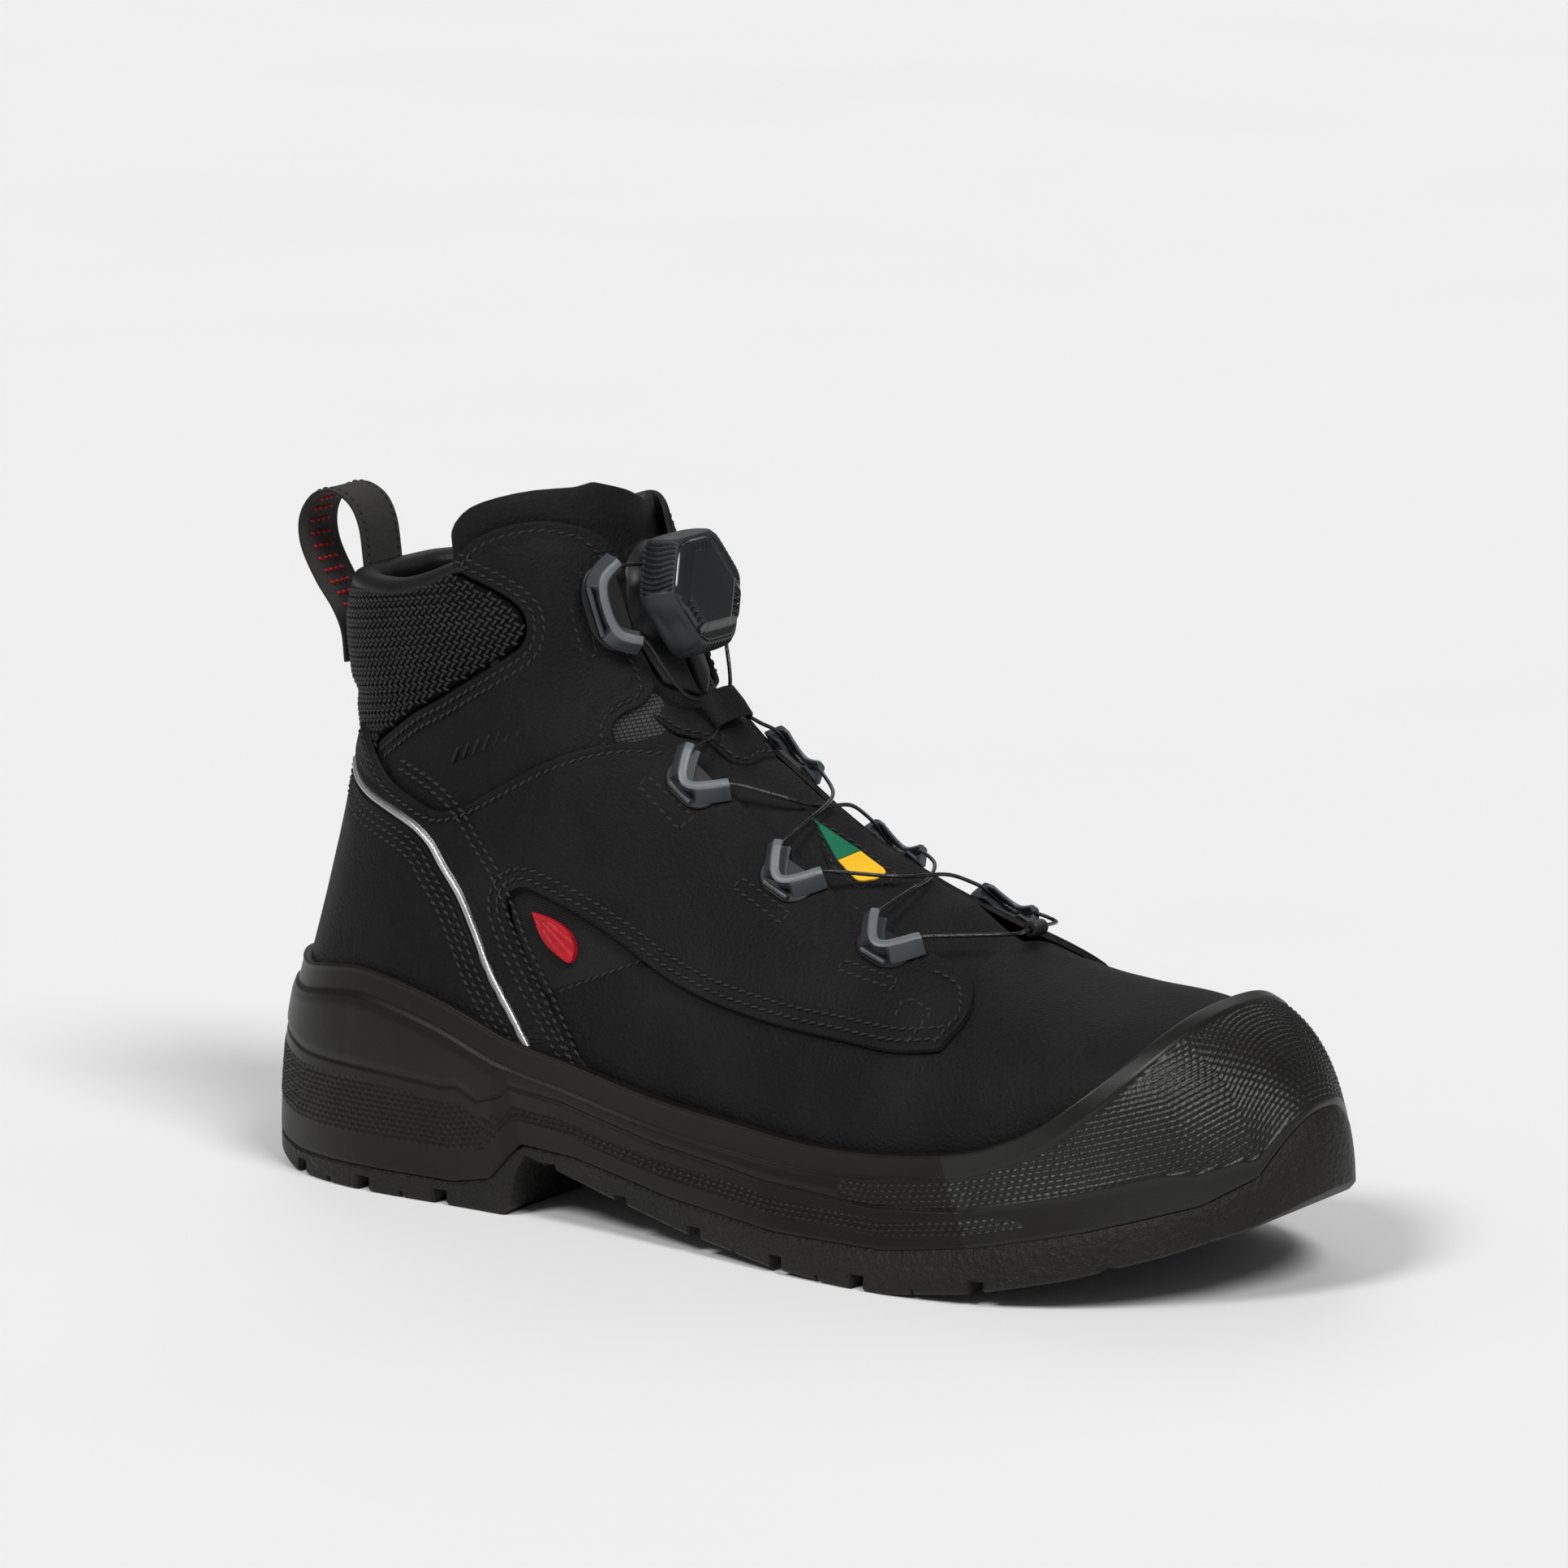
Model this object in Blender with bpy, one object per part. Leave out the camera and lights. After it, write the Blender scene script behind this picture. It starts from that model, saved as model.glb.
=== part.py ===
"""Right-foot safety work boot with a dial-and-cable closure, as an assembly of named parts.

Lengths are millimetres until a mesh is written; X runs to the toe, Y to the medial side, Z up.
The upper is one lofted skin: S(t, q) runs from the collar (t = 0) round the heel to the toe
(t = 19), and q goes round each section: 0 at the rear or bottom, -1 at the front or top on the
lateral side, +1 on the medial side. Every leather piece, lining and board is a slice of that skin.
"""

import math

import bmesh
import bpy
import numpy as np
from mathutils import Vector, geometry

MM = 0.001

# Depth bands below the skin, outer and inner face.
OVERLAY = (0.0, -1.5)
BASE = (-2.1, -3.5)
GUSSET = (-4.1, -5.1)
STIFFENER = (-4.2, -5.6)
LINING = (-6.8, -9.2)
PLATE = (-0.9, -1.7)
SHANK = (-2.6, -3.4)
BOARD = (-4.4, -6.0)
FOOTBED = (-6.8, -11.0)

FOOTBED_BACK = -131.0

CELL_T, CELL_Q = 0.8, 1 / 12  # mesh cell of a slice, along and round the skin
WALL_AROUND, WALL_UP = 36, 5  # sole wall: spans per side, rows
SKIN_CLEARANCE = 0.75
WALL_LIP = 2.0
EDGE_GAP = 0.5
SEAM = 1.3  # from the piping's centre to the leather edge on each side

CABLE_D = 1.1
DIAL_TILT = math.radians(15.0)
DIAL_SEAT = np.array((-40.6, 0.0, 158.3))
KNOB_R, KNOB_LOW, KNOB_HIGH, KNOB_BORE = 16.8, 3.4, 12.2, 11.6
HOUSING_R, CUP_R, CUP_FLOOR, CUP_TOP = 13.2, 11.2, 1.0, 4.0
SPOOL_R, SPOOL_WAIST, SPOOL_LOW, SPOOL_HIGH = 10.4, 8.2, 1.3, 3.7
DISC_R, DISC_LOW, DISC_HIGH = 10.8, 4.0, 5.0
CORE_R, CORE_HEAD_R, CORE_TOP = 2.2, 4.4, 11.8
CAP_R, CAP_THICK = 14.4, 1.5
RUN_GAP = 0.35

# Sections of the upper: rear or bottom point x z, front or top point x z, lateral and medial half
# widths, where along the section it is widest, fullness behind and in front of that, y of centre.
SECTIONS = np.array((
    (-134.0, 200, -62, 216, 36, 36, .52, 2.2, 2.2, 0),
    (-134.5, 180, -53, 196, 37, 37, .52, 2.2, 2.2, 0),
    (-135.0, 160, -45, 176, 38, 38, .52, 2.2, 2.2, 0),
    (-134.0, 142, -38, 160, 37.5, 37.5, .52, 2.2, 2.2, 0),
    (-132.5, 124, -33, 145, 36.5, 36.5, .50, 2.2, 2.2, 0),
    (-134.0, 106, -25, 132, 36.5, 36, .48, 2.3, 2.2, 0),
    (-138.5, 86, -14, 122, 37.5, 37, .44, 2.4, 2.2, 0),
    (-144.0, 64, 0, 113.5, 39, 38.5, .40, 2.6, 2.2, 0),
    (-148.0, 45, 11, 107, 41, 39.5, .36, 2.8, 2.2, 0.3),
    (-144.0, 32, 22, 101, 43, 40.5, .35, 3.0, 2.2, 0.6),
    (-112.0, 26, 33, 95.5, 45, 42, .34, 3.0, 2.2, 1.0),
    (-62.0, 26, 45, 89.5, 47.5, 44.5, .32, 3.0, 2.2, 1.4),
    (-12.0, 22, 59, 83, 50.5, 47.5, .30, 3.4, 2.2, 1.8),
    (35.0, 17, 76, 77, 52.5, 50, .32, 3.6, 2.3, 2.2),
    (70.0, 16, 94, 74, 52, 51, .34, 3.6, 2.4, 2.6),
    (100.0, 20.5, 112, 72.5, 46.5, 48, .35, 3.4, 2.5, 3.2),
    (122.0, 26.5, 127, 68.5, 36, 38.5, .36, 3.0, 2.5, 4.0),
    (137.0, 32, 139, 59.5, 25, 26, .40, 2.6, 2.4, 5.0),
    (145.5, 37, 146.5, 51, 13.5, 14.5, .46, 2.4, 2.3, 5.6),
    (149.3, 43, 149.5, 45.5, 1.5, 1.5, .5, 2.0, 2.0, 6.0),
))
LAST = len(SECTIONS) - 1

# Side-view lines, x z.
SOLE_TOP = [(-144, 56), (-133, 55.5), (-119, 58), (-109, 59), (-95, 57), (-79, 53), (-61, 47),
            (-42, 43.5), (-16, 38.5), (10, 35.5), (35, 33), (57, 33.5), (78, 36.5), (89, 40),
            (99, 45), (109, 53), (117, 61), (122, 68), (124, 70.2)]
LASTING = [(-145.5, 37), (-138, 35.5), (-112, 34.5), (-62, 33.5), (0, 29), (50, 23.5), (90, 25.5),
           (120, 33), (138, 41)]
PIPING_LINE = [(-128, 111), (-123, 106.5), (-115, 103.5), (-105, 101), (-96, 98), (-90, 94), (-86, 89),
               (-80, 82), (-75, 74), (-69, 64), (-62, 55), (-56, 47), (-50, 38)]
QUARTER_TOP = [(-121, 120), (-113, 113), (-107, 108.5), (-98, 105), (-89, 102.5), (-80, 105),
               (-71, 110), (-61, 116), (-53, 120), (-45, 123), (-36, 124.5), (-28, 124)]
EYESTAY = [(-28, 124), (-9, 111.5), (3, 103.5), (15, 95.5), (32, 86.5), (44, 82), (56, 78.3)]
QUARTER_FRONT = [(56, 78.3), (65, 75), (70, 68), (67, 60.5)]
QUARTER_LOW = [(67, 60.5), (54, 59), (39, 60), (24, 61), (8, 63), (-5, 65.5), (-18, 69.5),
               (-30, 75), (-43, 80.5), (-56, 85), (-62, 85.8), (-65.5, 82), (-63, 75), (-54, 63),
               (-42, 49), (-31, 37)]
MESH_EDGE = [(-114, 117), (-99, 127), (-91, 131), (-80, 137.5), (-71, 143), (-65, 147), (-63, 151),
             (-63.5, 155.5), (-67, 159), (-73, 162), (-79, 164), (-84, 166.5)]
RIM = [(-84, 166.5), (-93, 161.5), (-104, 158.3), (-118, 157.2), (-130, 156.8)]
ANKLE_TOP = [(-83, 168.2), (-79, 173), (-74, 176.3), (-69, 178.3), (-63, 179.8), (-57, 179.6),
             (-51, 177.3), (-46.5, 172.5)]
ANKLE_FRONT = [(-46.5, 172.5), (-43.5, 166), (-41, 156), (-38.5, 148), (-35.5, 142), (-34, 137.5),
               (-35.5, 133.8), (-39.5, 131), (-41, 127.5), (-39, 122), (-41, 117)]
TONGUE_SIDE = [(-88, 172), (-85, 160), (-76, 146), (-66, 133), (-54, 121), (-36, 108.5),
               (-14, 97), (8, 87.5), (26, 80), (40, 76)]
TONGUE_TOP = [(-88, 172), (-85, 178), (-80, 182.3), (-72, 185.5), (-63, 187.8), (-55, 188.5)]
BADGE_RED = [(-57.5, 80), (-52, 79), (-46.5, 76.5), (-43.6, 72.5), (-44.4, 68.6), (-48, 69.8)]

# Sole: plan outline of each side from heel to toe, undersides and parting line in side view.
PLAN_LATERAL = [(-156, 0), (-155.4, -8), (-151, -19), (-140, -31), (-115, -40.5), (-75, -42.5),
                (-35, -45), (0, -50), (35, -56), (65, -58), (95, -54.5), (120, -43.5), (140, -26), (151.5, -9),
                (155.2, -1), (156, 6)]
PLAN_MEDIAL = [(-156, 0), (-155.4, 8), (-151, 19), (-140, 31), (-115, 39.5), (-75, 39.5), (-35, 38), (0, 40),
               (35, 48), (65, 56), (92, 58), (118, 52), (138, 38.5), (150, 23),
               (155, 13.5), (156, 6)]
UNDERSIDE = [(-156, 11), (-150, 5), (-138, 0), (-62, 0), (-58, 17), (-48, 14.5), (-30, 10),
             (-5, 5), (25, 1.2), (50, 0), (62, 0), (85, 3.0), (110, 8.5), (130, 14.5), (145, 20),
             (156, 27)]
PARTING = [(-175, 10), (-156, 10), (-135, 6.5), (-80, 6.5), (-68, 9), (-58, 19.5), (-40, 18.5),
           (-10, 13.5), (25, 10.5), (60, 11), (85, 14.5), (113, 20.5), (137, 27), (146, 33),
           (149.5, 42), (152, 48), (156, 50.5), (175, 50.5)]
BUMPER_X = 80.0
GAP = 0.35
FORE_GROOVES = ((-38, 12), (-16, 10), (8, 8), (33, 5), (56.5, 2.5), (83, -4), (108, -12), (128, -20))
HEEL_GROOVES = ((-128, 8), (-106, 4), (-84, 0))
GROOVE_W, GROOVE_DEEP = 4.2, 4.0
RIB_Y = 9.0

# Cable guides on the lateral eyestay: centre x z, length along the eyestay, reach over the leather.
GUIDES = ((-44.4, 158, 21.0, 9.0), (-19, 115.5, 14.5, 8.5), (10.5, 94.5, 14.5, 8.5),
          (41.5, 81, 14.5, 8.5))
GUIDE_SEAT = 0.9
GUIDE_BASE, GUIDE_TALL, GUIDE_WALL = 0.9, 4.6, 1.1

BOX_FACES = [(0, 1, 3, 2), (4, 6, 7, 5), (0, 4, 5, 1), (2, 3, 7, 6), (0, 2, 6, 4), (1, 5, 7, 3)]

LOOKS = {
    "nubuck": ((.018, .018, .019, 1), .82, 0), "smooth_leather": ((.02, .02, .021, 1), .55, 0),
    "mesh": ((.02, .02, .02, 1), .9, 0), "lining": ((.05, .05, .052, 1), .9, 0),
    "rubber": ((.03, .028, .027, 1), .6, 0), "foam": ((.028, .026, .025, 1), .65, 0),
    "steel": ((.5, .51, .52, 1), .35, 1), "board": ((.35, .3, .24, 1), .8, 0),
    "nylon": ((.05, .055, .062, 1), .4, 0), "knob": ((.04, .042, .048, 1), .5, 0),
    "gloss": ((.035, .036, .045, 1), .25, 0), "cable": ((.015, .015, .016, 1), .3, 0),
    "reflective": ((.25, .25, .26, 1), .3, 0), "webbing": ((.06, .056, .057, 1), .9, 0),
    "badge_red": ((.55, .02, .04, 1), .5, 0), "tag_colour": ((.9, .55, .02, 1), .5, 0),
    "thread": ((.03, .03, .03, 1), .7, 0),
}


# ---------------------------------------------------------------- skin
def hermite(rows, t):
    """Smooth interpolation through the rows at row number t."""
    t = np.clip(np.asarray(t, float), 0, len(rows) - 1 - 1e-9)
    i = np.floor(t).astype(int)
    f = (t - i)[..., None]
    a, b = rows[i], rows[i + 1]
    before, after = rows[np.maximum(i - 1, 0)], rows[np.minimum(i + 2, len(rows) - 1)]
    m1 = np.where((i > 0)[..., None], (b - before) / 2, b - a)
    m2 = np.where((i + 2 < len(rows))[..., None], (after - a) / 2, b - a)
    return ((2 * f**3 - 3 * f**2 + 1) * a + (f**3 - 2 * f**2 + f) * m1
            + (3 * f**2 - 2 * f**3) * b + (f**3 - f**2) * m2)


def surface(t, q):
    s = hermite(SECTIONS, t)
    q = (np.asarray(q, float) + 1) % 2 - 1
    w = 0.5 * (1 - np.cos(np.pi * np.abs(q)))
    widest = s[..., 6]
    u = np.where(w > widest, (w - widest) / (1 - widest), (widest - w) / widest)
    full = np.where(w > widest, s[..., 8], s[..., 7])
    half = np.where(q < 0, s[..., 4], s[..., 5])
    y = s[..., 9] + half * np.sqrt(np.maximum(0, 1 - u**full)) * np.sign(q)
    return np.stack([s[..., 0] + w * (s[..., 2] - s[..., 0]), y,
                     s[..., 1] + w * (s[..., 3] - s[..., 1])], -1)


def outward(t, q, e=1e-3):
    along = surface(np.minimum(t + e, LAST), q) - surface(np.maximum(t - e, 0), q)
    n = np.cross(surface(t, q + e) - surface(t, q - e), along)
    return n / (np.linalg.norm(n, axis=-1, keepdims=True) + 1e-12)


def skin(t, q, depth=0.0):
    """Points of the skin moved out by depth."""
    t, q, depth = np.broadcast_arrays(np.asarray(t, float), np.asarray(q, float), depth)
    return surface(t, q) + outward(t, q) * depth[..., None]


FAN_T = np.linspace(0, LAST, 40 * LAST + 1)
FAN = hermite(SECTIONS, FAN_T)


def locate(x, z):
    """Side-view point to (t, |q|)."""
    dx, dz = FAN[:, 2] - FAN[:, 0], FAN[:, 3] - FAN[:, 1]
    side = dx * (z - FAN[:, 1]) - dz * (x - FAN[:, 0])
    found = []
    for i in np.where(np.sign(side[:-1]) != np.sign(side[1:]))[0]:
        f = side[i] / (side[i] - side[i + 1])
        t = FAN_T[i] + f * (FAN_T[i + 1] - FAN_T[i])
        s = hermite(SECTIONS, t)
        ex, ez = s[2] - s[0], s[3] - s[1]
        w = ((x - s[0]) * ex + (z - s[1]) * ez) / (ex * ex + ez * ez)
        found.append((abs(w - .5), t, w))
    _, t, w = min(found)
    return float(t), math.acos(1 - 2 * min(max(w, 0.0), 1.0)) / math.pi


def smooth(points, per=4):
    rows = np.array(points, float)
    return hermite(rows, np.linspace(0, len(rows) - 1, per * (len(rows) - 1) + 1))


def lateral(points, per=4):
    """Side-view line to (t, q) on the lateral side."""
    return [(t, -q) for t, q in (locate(x, z) for x, z in smooth(points, per))]


def other_side(line):
    """A lateral line mirrored round the back to the medial side, run the other way."""
    return [(t, -q) for t, q in line[::-1]]


def over_crown(line):
    """A lateral line mirrored over the crown to the medial side, run the other way."""
    return [(t, -2 - q) for t, q in line[::-1]]


def beside(points, gap):
    """A side-view line moved sideways, to the left of its direction for a positive gap."""
    line = smooth(points, 2)
    turn = np.gradient(line, axis=0)
    turn /= np.linalg.norm(turn, axis=1)[:, None]
    return np.column_stack([line[:, 0] - turn[:, 1] * gap, line[:, 1] + turn[:, 0] * gap])


# ---------------------------------------------------------------- meshes
def material(look):
    made = bpy.data.materials.get(look)
    if made:
        return made
    colour, rough, metal = LOOKS[look]
    made = bpy.data.materials.new(look)
    made.use_nodes = True
    shader = made.node_tree.nodes["Principled BSDF"]
    shader.inputs["Base Color"].default_value = colour
    shader.inputs["Roughness"].default_value = rough
    shader.inputs["Metallic"].default_value = metal
    made.diffuse_color = colour
    return made


def solid(name, points, faces, look=None, origin=(0, 0, 0)):
    """One closed mesh object; a helper when it has no look."""
    origin = np.array(origin, float)
    data = bpy.data.meshes.new(name)
    data.from_pydata([tuple((np.array(p) - origin) * MM) for p in points], [], faces)
    b = bmesh.new()
    b.from_mesh(data)
    bmesh.ops.remove_doubles(b, verts=b.verts, dist=1e-6)
    bmesh.ops.recalc_face_normals(b, faces=b.faces)
    bmesh.ops.triangulate(b, faces=[f for f in b.faces if len(f.verts) > 4])
    b.to_mesh(data)
    b.free()
    obj = bpy.data.objects.new(name, data)
    obj.location = origin * MM
    bpy.context.scene.collection.objects.link(obj)
    if look:
        data.materials.append(material(look))
    else:
        obj.hide_render = True
        obj.display_type = "WIRE"
    return obj


def boolean(obj, cutter, operation="DIFFERENCE"):
    step = obj.modifiers.new(cutter.name, "BOOLEAN")
    step.operation = operation
    step.object = cutter
    step.solver = "EXACT"


def evenly(loop):
    """The closed (t, q) loop with spans of at most one mesh cell, very short ones merged."""
    scale = np.array((CELL_T, CELL_Q))
    kept = []
    for point in np.array(loop) / scale:
        if not kept or np.linalg.norm(point - kept[-1]) > 0.12:
            kept.append(point)
    while np.linalg.norm(kept[0] - kept[-1]) < 0.12:
        kept.pop()
    out = []
    for a, b in zip(kept, kept[1:] + kept[:1]):
        n = max(1, math.ceil(np.linalg.norm(b - a) - 0.3))
        out += [a + (b - a) * k / n for k in range(n)]
    return np.array(out)


def thin_loop(loop, within=0.10):
    """Drop points that lie almost on the line between their neighbours, keeping spans under a cell."""
    points = [np.array(p) for p in loop]
    i = 0
    while i < len(points) and len(points) > 8:
        a, p, b = points[i - 1], points[i], points[(i + 1) % len(points)]
        span = b - a
        length = np.linalg.norm(span)
        off = abs(span[0] * (p - a)[1] - span[1] * (p - a)[0]) / max(length, 1e-9)
        if off < within and length < 1.1:
            points.pop(i)
        else:
            i += 1
    return np.array(points)


def slice_of_skin(name, loop, band, look):
    """The part of the skin inside a (t, q) loop, between two depths (numbers or functions of t, q)."""
    edge = thin_loop(evenly(loop))
    low, high = np.floor(edge.min(0)), np.ceil(edge.max(0))
    inner = []
    for i in np.arange(low[0], high[0] + 1):
        for j in np.arange(low[1], high[1] + 1):
            p = np.array((i, j))
            a, b = edge, np.roll(edge, -1, 0)
            f = np.clip(((p - a) * (b - a)).sum(1) / ((b - a)**2).sum(1), 0, 1)
            gap = np.linalg.norm(a + (b - a) * f[:, None] - p, axis=1).min()
            crossings = ((a[:, 1] > j) != (b[:, 1] > j)) & (
                i < (b[:, 0] - a[:, 0]) * (j - a[:, 1]) / (b[:, 1] - a[:, 1] + 1e-12) + a[:, 0])
            if gap > 0.4 and crossings.sum() % 2:
                inner.append((i + 1e-4 * j, j + 1e-4 * i))
    points = [Vector(p) for p in edge] + [Vector(p) for p in inner]
    flat, _, faces, *_ = geometry.delaunay_2d_cdt(points, [], [list(range(len(edge)))], 1, 1e-5)
    tq = np.array([tuple(p) for p in flat]) * (CELL_T, CELL_Q)
    depth = [d(tq[:, 0], tq[:, 1]) if callable(d) else d for d in band]
    layers = [skin(tq[:, 0], tq[:, 1], d) for d in depth]
    n = len(tq)
    used = {(f[k], f[(k + 1) % 3]) for f in faces for k in range(3)}
    rim = [(a, b) for a, b in used if (b, a) not in used]
    mesh = [tuple(f) for f in faces] + [tuple(i + n for i in reversed(f)) for f in faces]
    mesh += [(b, a, a + n, b + n) for a, b in sorted(rim)]
    return solid(name, np.concatenate(layers), mesh, look)


def sweep(name, path, section, frames, look):
    """A closed section (u, v) carried along the path; frames give its u and v directions."""
    rings = [np.array(p) + u * np.array(fu) + v * np.array(fv)
             for p, (fu, fv) in zip(path, frames) for u, v in section]
    m, n = len(section), len(path)
    faces = [(i * m + j, i * m + (j + 1) % m, (i + 1) * m + (j + 1) % m, (i + 1) * m + j)
             for i in range(n - 1) for j in range(m)]
    faces += [tuple(range(m)), tuple((n - 1) * m + j for j in reversed(range(m)))]
    return solid(name, rings, faces, look)


def prism(name, outline, low, high):
    """Helper: a side-view outline carried across y from low to high."""
    n = len(outline)
    points = [(x, low, z) for x, z in outline] + [(x, high, z) for x, z in outline]
    faces = [tuple(range(n)), tuple(range(2 * n - 1, n - 1, -1))]
    faces += [(i, (i + 1) % n, n + (i + 1) % n, n + i) for i in range(n)]
    return solid(name, points, faces)


def turned(name, profile, look, sides=24, ring=True):
    """A profile (r, h) turned round the dial axis: a closed loop, or ends closed with discs."""
    n = len(profile)
    points = [dial_point(r * math.cos(2 * math.pi * k / sides), r * math.sin(2 * math.pi * k / sides), h)
              for k in range(sides) for r, h in profile]
    faces = []
    for k in range(sides):
        after = (k + 1) % sides
        for i in range(n if ring else n - 1):
            j = (i + 1) % n
            faces.append((k * n + i, k * n + j, after * n + j, after * n + i))
    if not ring:
        faces += [tuple(k * n for k in range(sides)),
                  tuple(k * n + n - 1 for k in reversed(range(sides)))]
    return solid(name, points, faces, look, origin=DIAL_SEAT)


# ---------------------------------------------------------------- dial frame
DIAL_N = np.array((math.cos(DIAL_TILT), 0, math.sin(DIAL_TILT)))
DIAL_UP = np.array((-math.sin(DIAL_TILT), 0, math.cos(DIAL_TILT)))
DIAL_SIDE = np.array((0.0, -1.0, 0.0))


def dial_point(side, up, h):
    return DIAL_SEAT + DIAL_SIDE * side + DIAL_UP * up + DIAL_N * h


def knob_outline(radius, count=36):
    """Rounded three-lobed hexagon: three long and three short sides."""
    ring = []
    for k in range(count):
        a = 2 * math.pi * k / count
        lobe = 0.055 * math.cos(3 * a) - 0.028 * math.cos(6 * a)
        ring.append((radius * (1 + lobe) * math.cos(a), radius * (1 + lobe) * math.sin(a)))
    return ring


def lobed(name, rows, look, hollow=()):
    """Lobed solid from (radius, h) rows; hollow rows are round and lead back to the first row."""
    count = 36
    points = [dial_point(u, v, h) for r, h in rows for u, v in knob_outline(r, count)]
    for r, h in hollow:
        points += [dial_point(r * math.cos(2 * math.pi * k / count),
                              r * math.sin(2 * math.pi * k / count), h) for k in range(count)]
    rings = len(rows) + len(hollow)
    spans = [(i, i + 1) for i in range(rings - 1)] + ([(rings - 1, 0)] if hollow else [])
    faces = [(i * count + k, i * count + (k + 1) % count, j * count + (k + 1) % count, j * count + k)
             for i, j in spans for k in range(count)]
    if not hollow:
        faces += [tuple(range(count)), tuple((rings - 1) * count + k for k in reversed(range(count)))]
    return solid(name, points, faces, look, origin=DIAL_SEAT)


# ---------------------------------------------------------------- sole wall
def at_fraction(line, fraction):
    """Points at fractions of the length of a line."""
    line = np.array(line, float)
    run = np.concatenate([[0], np.cumsum(np.linalg.norm(np.diff(line, axis=0), axis=1))])
    return np.stack([np.interp(np.asarray(fraction) * run[-1], run, c) for c in line.T], -1)


def wall_side(plan, sign):
    """Grid of sole wall points of one side, bottom to top, heel to toe."""
    f = np.linspace(0, 1, WALL_AROUND + 1)
    foot = at_fraction(smooth(plan, 8), f)
    low = np.array(UNDERSIDE, float)
    bottom = np.column_stack([foot, np.interp(foot[:, 0], low[:, 0], low[:, 1])])
    tq = np.array([locate(x, z) for x, z in smooth(SOLE_TOP, 4)])
    tq[0, 1], tq[-1, 1] = 0, 1
    tq[:, 1] *= sign
    on_skin = np.column_stack([skin(tq[:, 0], tq[:, 1]), tq])
    run = np.concatenate([[0], np.cumsum(np.linalg.norm(np.diff(on_skin[:, :3], axis=0), axis=1))])
    tq = np.stack([np.interp(f * run[-1], run, tq[:, k]) for k in (0, 1)], -1)
    top = skin(tq[:, 0], tq[:, 1], WALL_LIP)
    ahead = np.gradient(top, axis=0)
    down = np.cross(outward(tq[:, 0], tq[:, 1]), ahead) * sign
    down /= np.linalg.norm(down, axis=1, keepdims=True)
    reach = np.linalg.norm(top - bottom, axis=1)[:, None]
    lift = np.array((0, 0, 1.0)) * reach * 0.38
    rows = []
    for v in np.linspace(0, 1, WALL_UP + 1):
        rows.append((1 - v)**3 * bottom + 3 * (1 - v)**2 * v * (bottom + lift)
                    + 3 * (1 - v) * v**2 * (top + down * reach * 0.38) + v**3 * top)
    return np.array(rows)


def sole_wall(name):
    """Whole sole as one solid: its wall, closed across the underside and across the top."""
    sides = [wall_side(PLAN_LATERAL, -1), wall_side(PLAN_MEDIAL, 1)]
    n = WALL_AROUND
    ring = [(0, i) for i in range(n + 1)] + [(1, i) for i in range(n - 1, 0, -1)]
    points = [sides[s][v][i] for v in range(WALL_UP + 1) for s, i in ring]
    size = len(ring)
    faces = [(v * size + k, v * size + (k + 1) % size, (v + 1) * size + (k + 1) % size,
              (v + 1) * size + k) for v in range(WALL_UP) for k in range(size)]
    for v in (0, WALL_UP):
        for i in range(n):
            a, b = v * size + i, v * size + i + 1
            c = v * size + (size - i - 1) % size
            d = v * size + (size - i) % size
            corners = [a, b] + ([c] if c != b else []) + ([d] if d != a else [])
            faces.append(tuple(dict.fromkeys(corners)))
    return solid(name, points, faces)


def envelope(name):
    """The space of the upper, a little outside the skin."""
    ts = np.linspace(4.0, LAST - 0.4, 30)
    qs = np.linspace(-1, 1, 29)[:-1]
    t, q = np.meshgrid(ts, qs, indexing="ij")
    points = skin(t, q, SKIN_CLEARANCE).reshape(-1, 3)
    m, n = len(qs), len(ts)
    faces = [(i * m + j, i * m + (j + 1) % m, (i + 1) * m + (j + 1) % m, (i + 1) * m + j)
             for i in range(n - 1) for j in range(m)]
    faces += [tuple(range(m)), tuple((n - 1) * m + j for j in reversed(range(m)))]
    return solid(name, points, faces)


def tread_slots(name):
    """Helper: slanted slots from the rib out past each edge of the tread."""
    half = GROOVE_W / 2
    points, faces = [], []
    for x, slant in FORE_GROOVES + HEEL_GROOVES:
        base = np.interp(x, [p[0] for p in UNDERSIDE], [p[1] for p in UNDERSIDE])
        for side in (-1, 1):
            n = len(points)
            points += [(x + end * half - slant * y / 50, side * y, base + z) for z in (-12, GROOVE_DEEP)
                       for y in (RIB_Y, 70) for end in (-1, 1)]
            faces += [tuple(n + k for k in f) for f in BOX_FACES]
    return solid(name, points, faces)


# ---------------------------------------------------------------- build
def clear_scene():
    for obj in list(bpy.data.objects):
        bpy.data.objects.remove(obj, do_unlink=True)
    bpy.context.scene.unit_settings.scale_length = 1.0


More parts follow.
